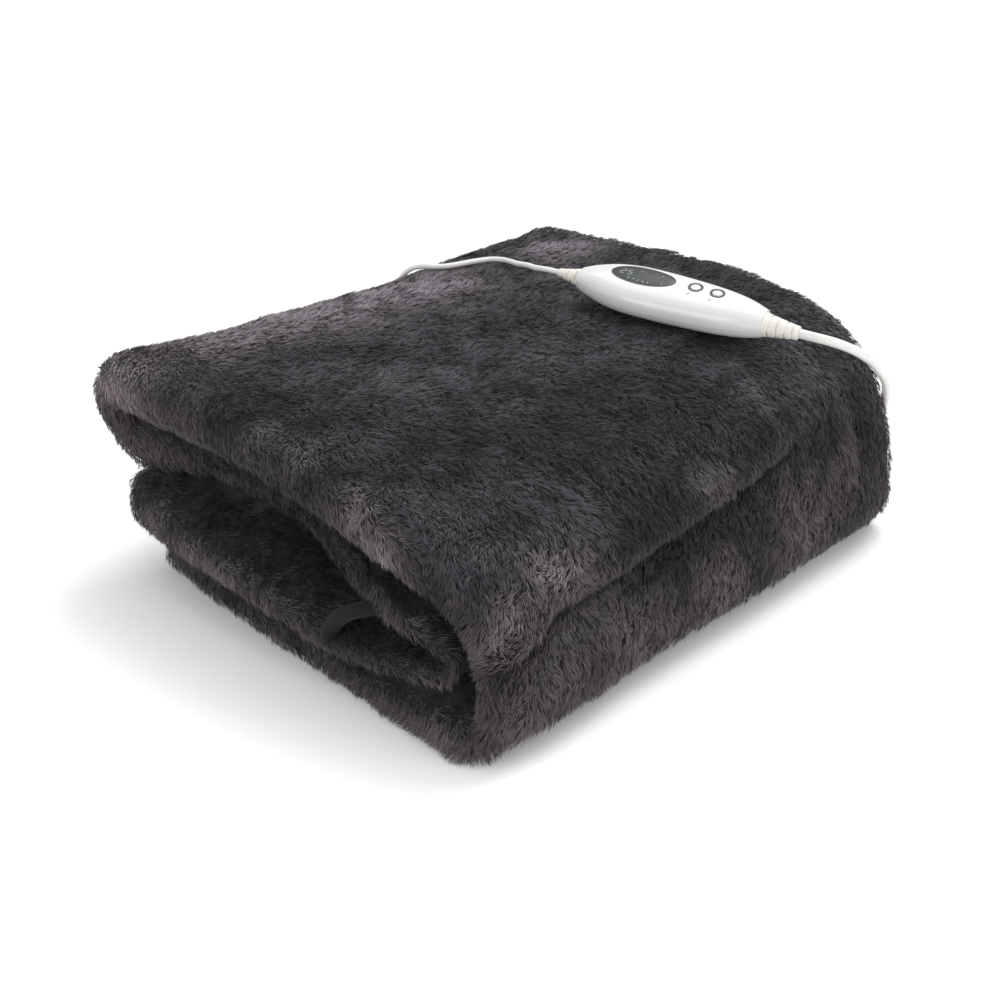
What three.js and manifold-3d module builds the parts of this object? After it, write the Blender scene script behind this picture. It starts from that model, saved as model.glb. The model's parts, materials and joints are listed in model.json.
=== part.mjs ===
// Electric heated blanket of plush cloth, folded for the shelf, with its handset lying on top.
// Millimetres, +Z up. X runs along the layered end, Y away from it, and the origin is the middle
// of the footprint, on the surface that the blanket lies on.
import * as THREE from "three";
import { mergeVertices } from "three/addons/utils/BufferGeometryUtils.js";
import Module from "manifold-3d";

const wasm = await Module();
wasm.setup();

const group = new THREE.Group();

// ---- materials -----------------------------------------------------------------------------
const plain = (color, roughness, metalness = 0) =>
  new THREE.MeshStandardMaterial({ color, roughness, metalness });
const PLUSH = plain(0x3a363d, 0.95);
const BINDING_CLOTH = plain(0x3b3b3f, 0.7);
const WHITE_PLASTIC = plain(0xeceae6, 0.25);
const IVORY_RUBBER = plain(0xe2ddd0, 0.5);
const WINDOW = plain(0x2e3433, 0.15);
const GREY_PLASTIC = plain(0x8e9092, 0.4);
const CORD_SHEATH = plain(0xe8e6e2, 0.45);
const PIN_METAL = plain(0xc9c6bd, 0.25, 1);

// ---- driving dimensions --------------------------------------------------------------------
const GAP = 0.3; // between pieces that touch
const PLY_GAP = 1.4; // air between two plies of the folded strip

// The blanket is folded twice lengthwise into a strip of four plies, and the strip is then wound
// in four passes. Each row is one place along the strip, from its lower free end: x, height and
// thickness of the strip's middle at its near edge (0) and at its far edge (1), the y of the two
// edges, and how far the strip's upper side sags between them.
const STRIP = [
  { at: "bottom end", x0: -134, z0: 11, t0: 22, x1: -138, z1: 15, t1: 30, near: -200.5, far: 203.5, sag: 0 },
  { at: "bottom", x0: -68, z0: 11, t0: 22, x1: -68, z1: 15, t1: 30, near: -217.5, far: 207.5, sag: 0 },
  { at: "bottom", x0: 7, z0: 11, t0: 22, x1: 7, z1: 15, t1: 30, near: -220.5, far: 207.5, sag: 0 },
  { at: "bottom", x0: 74, z0: 11, t0: 22, x1: 74, z1: 15, t1: 30, near: -218.5, far: 207.5, sag: 0 },
  { at: "bottom", x0: 140, z0: 11, t0: 22, x1: 138, z1: 15, t1: 30, near: -214.5, far: 208.5, sag: 0 },
  { at: "outer turn", x0: 165, z0: 10.5, t0: 20, x1: 163, z1: 15, t1: 28, near: -209.5, far: 205.5, sag: 0 },
  { at: "outer turn", x0: 174.5, z0: 17, t0: 18, x1: 173, z1: 25, t1: 26, near: -203.5, far: 200.5, sag: 0 },
  { at: "outer turn", x0: 177, z0: 38, t0: 18, x1: 172.5, z1: 50, t1: 25, near: -202.5, far: 198.5, sag: 0 },
  { at: "outer turn", x0: 169, z0: 65, t0: 25, x1: 163, z1: 84, t1: 30, near: -199.5, far: 200.5, sag: 0 },
  { at: "outer turn", x0: 150, z0: 88, t0: 33, x1: 145, z1: 112, t1: 36, near: -201.5, far: 202.5, sag: 0 },
  { at: "top", x0: 116, z0: 102, t0: 37, x1: 110, z1: 130.5, t1: 41, near: -205.5, far: 209.5, sag: 4 },
  { at: "top", x0: 66, z0: 116, t0: 41, x1: 58, z1: 138.5, t1: 45, near: -207.5, far: 214.5, sag: 7 },
  { at: "top", x0: 4, z0: 127, t0: 45, x1: 2, z1: 141.5, t1: 46, near: -208.5, far: 218.5, sag: 9 },
  { at: "top", x0: -64, z0: 130, t0: 50, x1: -58, z1: 139.5, t1: 47, near: -206.5, far: 219.5, sag: 10 },
  { at: "top", x0: -138, z0: 130, t0: 48, x1: -124, z1: 138, t1: 47, near: -206.5, far: 215.5, sag: 9 },
  { at: "left turn", x0: -161.5, z0: 122.5, t0: 37, x1: -148.5, z1: 133, t1: 39, near: -203.5, far: 212.5, sag: 6 },
  { at: "left turn", x0: -169.5, z0: 104.5, t0: 35, x1: -157, z1: 114.5, t1: 36, near: -199.5, far: 209.5, sag: 2 },
  { at: "left turn", x0: -161, z0: 86.5, t0: 33, x1: -148, z1: 95, t1: 33, near: -191.5, far: 207.5, sag: 0 },
  { at: "upper", x0: -134, z0: 81, t0: 32, x1: -122, z1: 88, t1: 32, near: -182.5, far: 205.5, sag: 0 },
  { at: "upper", x0: -58, z0: 84, t0: 29, x1: -50, z1: 88, t1: 32, near: -174.5, far: 205.5, sag: 0 },
  { at: "upper", x0: 20, z0: 88, t0: 27, x1: 24, z1: 88, t1: 32, near: -186.5, far: 205.5, sag: 0 },
  { at: "upper", x0: 74, z0: 75, t0: 23, x1: 72, z1: 87, t1: 31, near: -201.5, far: 205.5, sag: 0 },
  { at: "upper", x0: 120, z0: 58, t0: 16, x1: 104, z1: 84, t1: 27, near: -200.5, far: 205.5, sag: 0 },
  { at: "inner turn", x0: 144, z0: 54, t0: 11, x1: 121, z1: 78.5, t1: 24, near: -198.5, far: 201.5, sag: 0 },
  { at: "inner turn", x0: 149, z0: 46, t0: 10, x1: 127, z1: 67.5, t1: 23, near: -196.5, far: 197.5, sag: 0 },
  { at: "inner turn", x0: 144, z0: 38, t0: 10, x1: 121, z1: 56, t1: 24, near: -198.5, far: 201.5, sag: 0 },
  { at: "lower", x0: 121, z0: 34, t0: 12, x1: 104, z1: 51, t1: 27, near: -202.5, far: 206.5, sag: 0 },
  { at: "lower", x0: 56, z0: 31, t0: 16, x1: 46, z1: 50, t1: 32, near: -211.5, far: 206.5, sag: 0 },
  { at: "lower", x0: -24, z0: 40, t0: 26, x1: -28, z1: 50, t1: 33, near: -213.5, far: 206.5, sag: 0 },
  { at: "lower", x0: -100, z0: 45, t0: 33, x1: -96, z1: 50, t1: 33, near: -209.5, far: 206.5, sag: 0 },
  { at: "lower end", x0: -152, z0: 44.5, t0: 31.5, x1: -141, z1: 50, t1: 31, near: -198.5, far: 199.5, sag: 0 },
];
const STEPS_PER_ROW = 2; // from one row to the next

const FLAT_BELOW = 1; // underside closer than this to the surface lies flat on it

// The bound edge's loop: the middle of a flat band.
const BINDING = { wide: 9, thick: 5.5, sides: 10, steps: 22 };
const BINDING_ROUTE = [
  [52, -192.5, 42.2],
  [53, -195.5, 48],
  [59, -196.5, 54],
  [68, -194.5, 56.2],
  [78, -190.5, 54.5],
];

// The handset: half width, and height over and under the parting line, from end to end. It is
// leant towards the near side, dipped towards +X, and turned, in radians.
const HANDSET_AT = [58, 99.5, 159.8];
const HANDSET_TURN = [0.27, 0.085, 0.24];
const HANDSET_SECTIONS = [
  { x: -66.5, half: 8.6, top: 7.4, bottom: 6.2 },
  { x: -62, half: 13, top: 9.4, bottom: 7.7 },
  { x: -54.5, half: 17.6, top: 11.2, bottom: 8.8 },
  { x: -43, half: 21, top: 12.4, bottom: 9.6 },
  { x: -27.5, half: 22.2, top: 13.2, bottom: 10 },
  { x: -9, half: 21.6, top: 13.3, bottom: 10 },
  { x: 11, half: 20.6, top: 13.3, bottom: 10 },
  { x: 31, half: 19.6, top: 12.9, bottom: 10 },
  { x: 46, half: 18, top: 12.2, bottom: 9.8 },
  { x: 56, half: 15.8, top: 11.2, bottom: 9.2 },
  { x: 63, half: 12.4, top: 9.6, bottom: 8.2 },
  { x: 66.5, half: 10, top: 8.4, bottom: 7.4 },
];
const SHELL_SQUARENESS = 2.5; // 2 is an ellipse
const SHELL_ARC_STEPS = 14;
const DISPLAY = { x: -20.5, y: 1.6, halfLength: 23, halfWidth: 10.2, floor: 9, stands: 0.2 };
const BUTTONS = [
  { x: 16.6, y: 2.8 },
  { x: 32, y: 2.8 },
];
const BUTTON_RADIUS = 3.3;
const WELL_RADIUS = 5.3; // of the hole that holds a button and the ring round it
const WELL_FLOOR = 7.5; // its height over the parting line
const RING_STANDS = 0.4;
const BUTTON_STANDS = 1;
const BUTTON_ROOM = 1.4; // under a button, more than its travel
const ROUND_STEPS = 14;

const BOOT_BLANKET = { length: 17, wide: 6.8, slim: 2.9, grooves: 3, depth: 0.9 };
const BOOT_MAINS = { length: 23, wide: 8.6, slim: 4.8, grooves: 3, depth: 1.1 };
const BOOT_CURVE = 0.8;
const BOOT_FLATNESS = 0.84; // height over width
const BOOT_GROOVE = 0.5; // share of the pitch
const BOOT_SIDES = 12;

// Cords. Each route starts a gap clear of what the cord comes out of.
const LEAD = { diameter: 3.9, sides: 8, steps: 44 };
const LEAD_ROUTE = [
  [-23.5, 79.6, 167],
  [-33, 77.4, 167.5],
  [-44, 78.2, 166.4],
  [-56.6, 83.5, 164.6],
  [-74, 93, 160.2],
  [-90, 101.5, 157],
  [-102, 105.6, 155.2],
  [-111, 102.5, 154.4],
  [-116, 93, 154.1],
  [-119.5, 81, 153.9],
  [-124.5, 70.5, 153.2],
  [-132.5, 64.5, 152.5],
  [-143.5, 63, 150.8],
  [-156, 64, 146.4],
  [-168, 65, 138],
  [-176.6, 66, 126],
  [-180.5, 66, 111.5],
  [-179.5, 66, 97],
  [-174, 66, 83],
  [-167, 66, 71],
  [-160, 66, 60.5],
  [-154.5, 66, 55],
  [-148, 66, 52.2],
];
const MAINS = { diameter: 6.2, sides: 8, steps: 52 };
const MAINS_ROUTE = [
  [145.3, 120.9, 152.1],
  [153, 122.8, 151.4],
  [160.5, 126.3, 150.2],
  [167.2, 132.3, 147.6],
  [172.2, 140.8, 143.2],
  [175.4, 150.8, 137.2],
  [176.5, 162, 130],
  [176.5, 172, 122],
  [174.8, 182.5, 114],
  [171.8, 193, 105.5],
  [167.5, 203, 94.5],
  [163, 209.5, 81],
  [158.5, 213, 66],
  [155.2, 215.4, 49],
  [152.3, 217.4, 34.5],
  [147, 219.8, 21.5],
  [138, 222, 11],
  [126, 223.6, 5.4],
  [112, 224.6, 3.4],
  [90, 225.5, 3.2],
  [52, 226, 3.2],
  [12, 225, 3.2],
  [-18, 223.7, 3.2],
  [-38, 223.2, 3.2],
];
const COIL = { x: -58, y: 265.5, radius: 37.2, halfWidth: 6.5, height: 18.8, sides: 28 };
const TAIL_STEPS = 6;
const TAIL_ROUTE = [
  [-27, 299.5, 15.5],
  [-19, 299.5, 14.7],
  [-12.5, 299.5, 12],
  [-6.5, 299.5, 10.2],
  [-0.4, 299.5, 10],
];
const PLUG = { x: 0, y: 299.5, z: 10, length: 40, halfWidth: 12, halfHeight: 7.5 };
const PLUG_SIDES = 16;
const PLUG_SECTIONS = [
  { at: 0, scale: 0.45 },
  { at: 0.3, scale: 0.55 },
  { at: 0.42, scale: 0.85 },
  { at: 0.55, scale: 1 },
  { at: 0.95, scale: 1 },
  { at: 1, scale: 0.92 },
];
const PIN = { radius: 2, length: 19, spacing: 18, sides: 12 };

// ---- the strip's middle surface ------------------------------------------------------------
// Cubic through the rows: the value of one column at s, where s counts rows.
function along(column, s) {
  const last = STRIP.length - 1;
  const i = Math.min(Math.floor(s), last - 1);
  const f = s - i;
  const row = (k) => STRIP[Math.max(0, Math.min(last, k))][column];
  const [a, b, c, d] = [row(i - 1), row(i), row(i + 1), row(i + 2)];
  const rise = (c - a) / 2;
  const next = (d - b) / 2;
  return (
    b + f * rise + f * f * (3 * (c - b) - 2 * rise - next) + f * f * f * (2 * (b - c) + rise + next)
  );
}

// The strip at s and at the share w of the way from its near edge to its far edge: the middle's
// x and z, the direction square to the cloth, and the thickness.
function middle(s, w) {
  const mix = (near, far, at) => along(near, at) * (1 - w) + along(far, at) * w;
  const last = STRIP.length - 1;
  const step = 0.02;
  const before = Math.max(0, s - step);
  const after = Math.min(last, s + step);
  const dx = mix("x0", "x1", after) - mix("x0", "x1", before);
  const dz = mix("z0", "z1", after) - mix("z0", "z1", before);
  const size = Math.hypot(dx, dz);
  const sag = along("sag", s) * 4 * w * (1 - w);
  return {
    x: mix("x0", "x1", s),
    z: mix("z0", "z1", s) - sag / 2,
    nx: -dz / size,
    nz: dx / size,
    t: mix("t0", "t1", s) - sag,
  };
}

// ---- the four plies across the strip -------------------------------------------------------
// The cloth's path across the strip, as it would be seen from the strip's end: in along an
// inner ply, round the inner fold at the near edge, back, round the fold at the far edge, in
// along the lower outer ply, round the near edge, and back along the upper outer ply. Each
// point has the share w from near to far, the height v in half thicknesses, and the way that
// the cloth faces there, across and up.
const WIDTH = 410; // near to far edge of a full pass
const ROUNDNESS = 0.95; // depth of the near edge's round over its half height

function pliesPath(thickness) {
  const path = [];
  const half = thickness / 2;
  const round = (ply) => (half * ply * ROUNDNESS) / WIDTH;
  const start = (half * ROUNDNESS) / WIDTH; // where the flat part of a ply begins
  const flat = (v, from, to, count, face) => {
    for (let i = 0; i < count; i += 1) {
      const w = from + ((to - from) * i) / (count - 1);
      path.push({ w, v, fw: 0, fv: face });
    }
  };
  const nearFold = (ply, count, down) => {
    for (let i = 1; i <= count; i += 1) {
      const angle = (Math.PI * i) / (count + 1);
      const up = down ? Math.cos(angle) : -Math.cos(angle);
      const out = Math.sin(angle);
      const turn = down ? 1 : -1;
      path.push({ w: start - round(ply) * out, v: ply * up, fw: -out * turn, fv: up * turn });
    }
  };
  const farFold = (v, radius, count) => {
    for (let i = 1; i <= count; i += 1) {
      const angle = (Math.PI * i) / (count + 1);
      const up = Math.cos(angle);
      const out = Math.sin(angle);
      const reach = 1 - start + round(radius) * out;
      path.push({ w: reach, v: v + radius * up, fw: -out, fv: -up });
    }
  };
  flat(0.25, 1, start, 5, 1);
  nearFold(0.25, 3, true);
  flat(-0.25, start, 1 - start, 5, -1);
  farFold(-0.5, 0.25, 3);
  flat(-0.75, 1 - start, start, 5, 1);
  nearFold(0.75, 7, false);
  flat(0.75, start, 1, 5, -1);
  return path;
}

function blanketGeometry() {
  const stations = [];
  for (let i = 0; i <= (STRIP.length - 1) * STEPS_PER_ROW; i += 1) {
    stations.push(i / STEPS_PER_ROW);
  }
  const positions = [];
  const rings = stations.map((s, index) => {
    const end = index === 0 || index === stations.length - 1;
    const inner = [];
    const outer = [];
    for (const point of pliesPath(middle(s, 0).t)) {
      const at = middle(s, Math.min(1, Math.max(0, point.w)));
      const near = along("near", s);
      const far = along("far", s);
      const pile = (at.t / 8 - PLY_GAP / 2) * (end ? 0.55 : 1);
      for (const [side, list] of [[1, inner], [-1, outer]]) {
        const up = (point.v * at.t) / 2 + side * point.fv * pile;
        const y = near + (far - near) * point.w + side * point.fw * pile;
        const z = at.z + at.nz * up;
        list.push(positions.length / 3);
        positions.push(at.x + at.nx * up, y, z < FLAT_BELOW ? 0 : z);
      }
    }
    return [...inner, ...outer.reverse()];
  });
  const triangles = [];
  const count = rings[0].length;
  for (let r = 0; r + 1 < rings.length; r += 1) {
    for (let k = 0; k < count; k += 1) {
      const m = (k + 1) % count;
      triangles.push(rings[r][k], rings[r][m], rings[r + 1][m]);
      triangles.push(rings[r][k], rings[r + 1][m], rings[r + 1][k]);
    }
  }
  for (const [ring, flip] of [[rings[0], false], [rings[rings.length - 1], true]]) {
    for (let k = 0; k + 1 < count / 2; k += 1) {
      const quad = [ring[k], ring[k + 1], ring[count - 2 - k], ring[count - 1 - k]];
      if (flip) {
        quad.reverse();
      }
      triangles.push(quad[0], quad[2], quad[1], quad[0], quad[3], quad[2]);
    }
  }
  return closed(positions, triangles);
}

// ---- helpers -------------------------------------------------------------------------------
// A closed body from points and triangles, with its faces turned outwards.
function closed(positions, triangles) {
  let volume = 0;
  const point = (i) => new THREE.Vector3().fromArray(positions, 3 * i);
  for (let i = 0; i < triangles.length; i += 3) {
    const [a, b, c] = [point(triangles[i]), point(triangles[i + 1]), point(triangles[i + 2])];
    volume += a.dot(b.cross(c));
  }
  const geometry = new THREE.BufferGeometry();
  geometry.setAttribute("position", new THREE.Float32BufferAttribute(positions, 3));
  geometry.setIndex(volume < 0 ? [...triangles].reverse() : triangles);
  return geometry;
}

function add(name, geometry, material, parent = group) {
  const mesh = new THREE.Mesh(geometry, material);
  mesh.name = name;
  parent.add(mesh);
  return mesh;
}

// A solid from a closed mesh, and back.
function solid(geometry) {
  const mesh = merged(geometry);
  const vertProperties = new Float32Array(mesh.attributes.position.array);
  const triVerts = new Uint32Array(mesh.index.array);
  return new wasm.Manifold(new wasm.Mesh({ numProp: 3, vertProperties, triVerts }));
}

function fromSolid(body) {
  const mesh = body.getMesh();
  return closed(Array.from(mesh.vertProperties), Array.from(mesh.triVerts));
}

function merged(geometry) {
  const bare = geometry.clone();
  bare.deleteAttribute("normal");
  bare.deleteAttribute("uv");
  return mergeVertices(bare, 1e-4);
}

// A body from rings of points that follow each other, closed by a fan at each end.
function loft(positions, rings) {
  const triangles = [];
  const count = rings[0].length;
  for (let r = 0; r + 1 < rings.length; r += 1) {
    for (let k = 0; k < count; k += 1) {
      const m = (k + 1) % count;
      triangles.push(rings[r][k], rings[r][m], rings[r + 1][m]);
      triangles.push(rings[r][k], rings[r + 1][m], rings[r + 1][k]);
    }
  }
  const last = rings[rings.length - 1];
  for (let k = 1; k + 1 < count; k += 1) {
    triangles.push(rings[0][0], rings[0][k + 1], rings[0][k]);
    triangles.push(last[0], last[k], last[k + 1]);
  }
  return closed(positions, triangles);
}

// A tube of an even section along points, with flat ends.
function tube(points, shape, steps) {
  const path = new THREE.CatmullRomCurve3(points.map((p) => new THREE.Vector3(...p)));
  const options = { steps, bevelEnabled: false, extrudePath: path, curveSegments: 1 };
  return merged(new THREE.ExtrudeGeometry(shape, options));
}

function polygon(halfWidth, halfHeight, sides) {
  const shape = new THREE.Shape();
  for (let i = 0; i < sides; i += 1) {
    const angle = (2 * Math.PI * (i + 0.5)) / sides;
    const x = halfWidth * Math.cos(angle);
    const y = halfHeight * Math.sin(angle);
    if (i === 0) {
      shape.moveTo(x, y);
    } else {
      shape.lineTo(x, y);
    }
  }
  shape.closePath();
  return shape;
}

const lathe = (outline, sides) =>
  merged(new THREE.LatheGeometry(outline.map(([r, h]) => new THREE.Vector2(r, h)), sides));

// ---- binding loop --------------------------------------------------------------------------
// The smooth bound edge of the cloth, which stands up as a small loop between two folds.
function bindingLoop() {
  const section = polygon(BINDING.thick / 2, BINDING.wide / 2, BINDING.sides);
  add("binding_loop", tube(BINDING_ROUTE, section, BINDING.steps), BINDING_CLOTH);
}

// ---- handset -------------------------------------------------------------------------------
// One half of the handset: the arcs of its sections lofted from end to end over a flat parting
// face. lift raises the outside.
function halfShell(column, side, lift) {
  const positions = [];
  const power = 2 / SHELL_SQUARENESS;
  const rings = HANDSET_SECTIONS.map((section) => {
    const ring = [];
    for (let i = 0; i <= SHELL_ARC_STEPS; i += 1) {
      const angle = (Math.PI * i) / SHELL_ARC_STEPS;
      const across = Math.cos(angle);
      const y = Math.sign(across) * Math.abs(across) ** power * (section.half + lift);
      const z = Math.abs(Math.sin(angle)) ** power * (section[column] + lift - GAP / 2);
      ring.push(positions.length / 3);
      positions.push(section.x, y, side * (z + GAP / 2));
    }
    return ring;
  });
  return loft(positions, rings);
}

// An upright prism over an oval, from one height to another.
function ovalPrism({ x, y }, halfLength, halfWidth, from, to) {
  const shape = new THREE.Shape();
  shape.absellipse(x, y, halfLength, halfWidth, 0, 2 * Math.PI, false, 0);
  const options = { depth: to - from, bevelEnabled: false, curveSegments: ROUND_STEPS };
  return new THREE.ExtrudeGeometry(shape, options).translate(0, 0, from);
}

function handset(body) {
  const { halfLength, halfWidth, floor } = DISPLAY;
  const above = 30; // over everything on the handset
  let upper = solid(halfShell("top", 1, 0));
  upper = upper.subtract(solid(ovalPrism(DISPLAY, halfLength, halfWidth, floor, above)));
  for (const at of BUTTONS) {
    upper = upper.subtract(solid(ovalPrism(at, WELL_RADIUS, WELL_RADIUS, WELL_FLOOR, above)));
  }
  add("handset_lower", halfShell("bottom", -1, 0), WHITE_PLASTIC, body);
  add("handset_upper", fromSolid(upper), WHITE_PLASTIC, body);

  const lens = ovalPrism(DISPLAY, halfLength - GAP, halfWidth - GAP, floor + GAP, above);
  const window = solid(halfShell("top", 1, DISPLAY.stands)).intersect(solid(lens));
  add("display_window", fromSolid(window), WINDOW, body);

  BUTTONS.forEach((at, index) => {
    const outside = ovalPrism(at, WELL_RADIUS - GAP, WELL_RADIUS - GAP, WELL_FLOOR + GAP, above);
    const inside = ovalPrism(at, BUTTON_RADIUS + GAP, BUTTON_RADIUS + GAP, 0, above + 1);
    const ring = solid(halfShell("top", 1, RING_STANDS)).intersect(solid(outside));
    add(`button_ring_${index + 1}`, fromSolid(ring.subtract(solid(inside))), GREY_PLASTIC, body);
    const post = ovalPrism(at, BUTTON_RADIUS, BUTTON_RADIUS, WELL_FLOOR + BUTTON_ROOM, above);
    const button = solid(halfShell("top", 1, BUTTON_STANDS)).intersect(solid(post));
    add(`button_${index + 1}`, fromSolid(button), WHITE_PLASTIC, body);
  });
}

// ---- strain reliefs ------------------------------------------------------------------------
// A taper with grooves round it, along +Y from its wide end: a lathe of its outline.
function boot({ length, wide, slim, grooves, depth }) {
  const radius = (at) => wide + (slim - wide) * (at / length) ** BOOT_CURVE;
  const pitch = length / (grooves + 1);
  const outline = [[0, 0], [wide, 0]];
  for (let i = 1; i <= grooves; i += 1) {
    const from = pitch * (i - BOOT_GROOVE / 2);
    const to = pitch * (i + BOOT_GROOVE / 2);
    outline.push([radius(from), from], [radius(from) - depth, from + 0.2]);
    outline.push([radius(to) - depth, to - 0.2], [radius(to), to]);
  }
  outline.push([slim, length], [0, length]);
  return lathe(outline, BOOT_SIDES);
}

function boots(body) {
  const end = HANDSET_SECTIONS[HANDSET_SECTIONS.length - 1].x + GAP;
  const blanketBoot = boot(BOOT_BLANKET).rotateZ(Math.PI / 2).scale(1, 1, BOOT_FLATNESS);
  const mainsBoot = boot(BOOT_MAINS).rotateZ(-Math.PI / 2).scale(1, 1, BOOT_FLATNESS);
  add("boot_blanket_lead", blanketBoot.translate(-end, 0, 0), IVORY_RUBBER, body);
  add("boot_mains_lead", mainsBoot.translate(end, 0, 0), IVORY_RUBBER, body);
}

// ---- cords ---------------------------------------------------------------------------------
function cords() {
  const thin = polygon(LEAD.diameter / 2, LEAD.diameter / 2, LEAD.sides);
  const mains = polygon(MAINS.diameter / 2, MAINS.diameter / 2, MAINS.sides);
  add("blanket_lead", tube(LEAD_ROUTE, thin, LEAD.steps), CORD_SHEATH);
  add("mains_lead", tube(MAINS_ROUTE, mains, MAINS.steps), CORD_SHEATH);
  add("mains_tail", tube(TAIL_ROUTE, mains, TAIL_STEPS), CORD_SHEATH);

  const inner = COIL.radius - COIL.halfWidth;
  const outer = COIL.radius + COIL.halfWidth;
  const ease = 1.5; // chamfer of the coil's section
  const outline = [
    [inner + ease, 0], [outer - ease, 0], [outer, ease], [outer, COIL.height - ease],
    [outer - ease, COIL.height], [inner + ease, COIL.height], [inner, COIL.height - ease],
    [inner, ease], [inner + ease, 0],
  ];
  const ring = lathe(outline, COIL.sides).rotateX(Math.PI / 2).translate(COIL.x, COIL.y, 0);
  add("mains_coil", ring, CORD_SHEATH);
}

function plug() {
  const { x, y, z, length, halfWidth, halfHeight } = PLUG;
  const positions = [];
  const rings = PLUG_SECTIONS.map(({ at, scale }) => {
    const ring = [];
    for (let i = 0; i < PLUG_SIDES; i += 1) {
      const angle = (2 * Math.PI * i) / PLUG_SIDES;
      const [c, s] = [Math.cos(angle), Math.sin(angle)];
      const round = (v) => Math.sign(v) * Math.abs(v) ** 0.7;
      ring.push(positions.length / 3);
      positions.push(x + at * length, y + round(c) * halfWidth * scale, z + round(s) * halfHeight * scale);
    }
    return ring;
  });
  add("plug_body", loft(positions, rings), CORD_SHEATH);
  for (const [index, side] of [-1, 1].entries()) {
    const outline = [
      [0, 0], [PIN.radius, 0], [PIN.radius, PIN.length - 1], [PIN.radius - 1, PIN.length],
      [0, PIN.length],
    ];
    const pin = lathe(outline, PIN.sides).rotateZ(-Math.PI / 2);
    pin.translate(x + length + GAP, y + (side * PIN.spacing) / 2, z);
    add(`plug_pin_${index + 1}`, pin, PIN_METAL);
  }
}

add("blanket", blanketGeometry(), PLUSH);
bindingLoop();
const handsetBody = new THREE.Group();
handsetBody.position.set(...HANDSET_AT);
handsetBody.rotation.set(...HANDSET_TURN, "ZYX");
group.add(handsetBody);
handset(handsetBody);
boots(handsetBody);
cords();
plug();

export default group;
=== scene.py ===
import json
import math

import bmesh
import bpy
import numpy as np
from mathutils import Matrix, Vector

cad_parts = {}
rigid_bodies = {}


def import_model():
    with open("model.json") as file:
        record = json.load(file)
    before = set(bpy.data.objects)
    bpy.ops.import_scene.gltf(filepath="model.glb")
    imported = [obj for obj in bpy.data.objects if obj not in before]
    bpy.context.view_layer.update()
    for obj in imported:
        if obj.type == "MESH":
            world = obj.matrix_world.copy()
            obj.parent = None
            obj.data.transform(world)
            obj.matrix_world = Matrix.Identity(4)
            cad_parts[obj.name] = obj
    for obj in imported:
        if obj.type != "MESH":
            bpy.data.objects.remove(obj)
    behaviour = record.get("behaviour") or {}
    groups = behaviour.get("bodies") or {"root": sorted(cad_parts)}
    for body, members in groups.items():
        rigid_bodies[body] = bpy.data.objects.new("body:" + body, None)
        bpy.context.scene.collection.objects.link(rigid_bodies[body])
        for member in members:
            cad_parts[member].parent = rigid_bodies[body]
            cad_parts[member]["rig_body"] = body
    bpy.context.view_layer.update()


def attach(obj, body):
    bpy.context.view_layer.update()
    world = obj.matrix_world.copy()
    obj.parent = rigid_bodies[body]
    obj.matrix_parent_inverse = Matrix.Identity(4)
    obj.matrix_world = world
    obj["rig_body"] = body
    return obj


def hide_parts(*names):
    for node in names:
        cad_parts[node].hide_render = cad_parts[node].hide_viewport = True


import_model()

MM = 0.001

# ---- camera ----
CAMERA_AT = (0.610, -0.6415, 0.447)  # in metres
CAMERA_LOOK = (-0.6246, 0.6530, -0.4274)
CAMERA_LENS, CAMERA_SENSOR = 51.55, 36  # the sensor's width


def add_camera():
    """Stands at CAMERA_AT, looks along CAMERA_LOOK and is held level."""
    data = bpy.data.cameras.new("camera")
    data.sensor_width = CAMERA_SENSOR
    data.lens = CAMERA_LENS
    camera = bpy.data.objects.new("camera", data)
    camera.location = CAMERA_AT
    camera.rotation_euler = Vector(CAMERA_LOOK).to_track_quat("-Z", "Y").to_euler()
    bpy.context.collection.objects.link(camera)
    bpy.context.scene.camera = camera


add_camera()


# ---- array helpers ----
def unit(v):
    """Each row divided by its length."""
    return v / np.maximum(np.linalg.norm(v, axis=-1, keepdims=True), 1e-9)


def ramp(value, low, high):
    """0 below low, 1 above high and an even S between: 3t^2 - 2t^3."""
    t = np.clip((value - low) / (high - low), 0, 1)
    return t * t * (3 - 2 * t)


def lerp(first, second, share):
    """First where share is 0, second where it is 1, and evenly from one to the other."""
    return first * (1 - share) + second * share


def squared(vectors, axes):
    """Each vector less its part along its axis, which leaves it square to the axis."""
    return vectors - axes * np.sum(vectors * axes, axis=1, keepdims=True)


def lattice_noise(points, size, seed):
    """Random values on a cubic lattice of that size, blended along each axis, from -1 to 1."""
    table = np.random.default_rng(seed).uniform(-1, 1, (32, 32, 32)).astype(np.float32)
    at = points / size
    cell = np.floor(at).astype(np.int32)
    share = (at - cell).astype(np.float32)
    share = share * share * (3 - 2 * share)
    total = np.zeros(len(points), np.float32)
    for corner in np.ndindex(2, 2, 2):
        weight = np.prod(np.where(corner, share, 1 - share), axis=1)
        i, j, k = ((cell + corner) & 31).T
        total += weight * table[i, j, k]
    return total


def cubic(rows, s):
    """Uniform Catmull-Rom cubic through rows: each value at s, where s counts rows."""
    rows = np.asarray(rows, float)
    last = len(rows) - 1
    i = np.clip(np.floor(s).astype(int), 0, last - 1)
    f = (s - i).reshape(s.shape + (1,) * (rows.ndim - 1))
    a, b, c, d = (rows[np.clip(i + k, 0, last)] for k in (-1, 0, 1, 2))
    rise, fall = (c - a) / 2, (d - b) / 2
    bend = 3 * (c - b) - 2 * rise - fall
    return b + f * rise + f**2 * bend + f**3 * (2 * (b - c) + rise + fall)


def circle(count):
    """That many angles, evenly round a whole turn from 0."""
    return np.arange(count) * 2 * np.pi / count


def signed_power(value, power):
    """Each value's size to that power, with the value's own sign."""
    return np.sign(value) * np.abs(value) ** power


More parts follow.
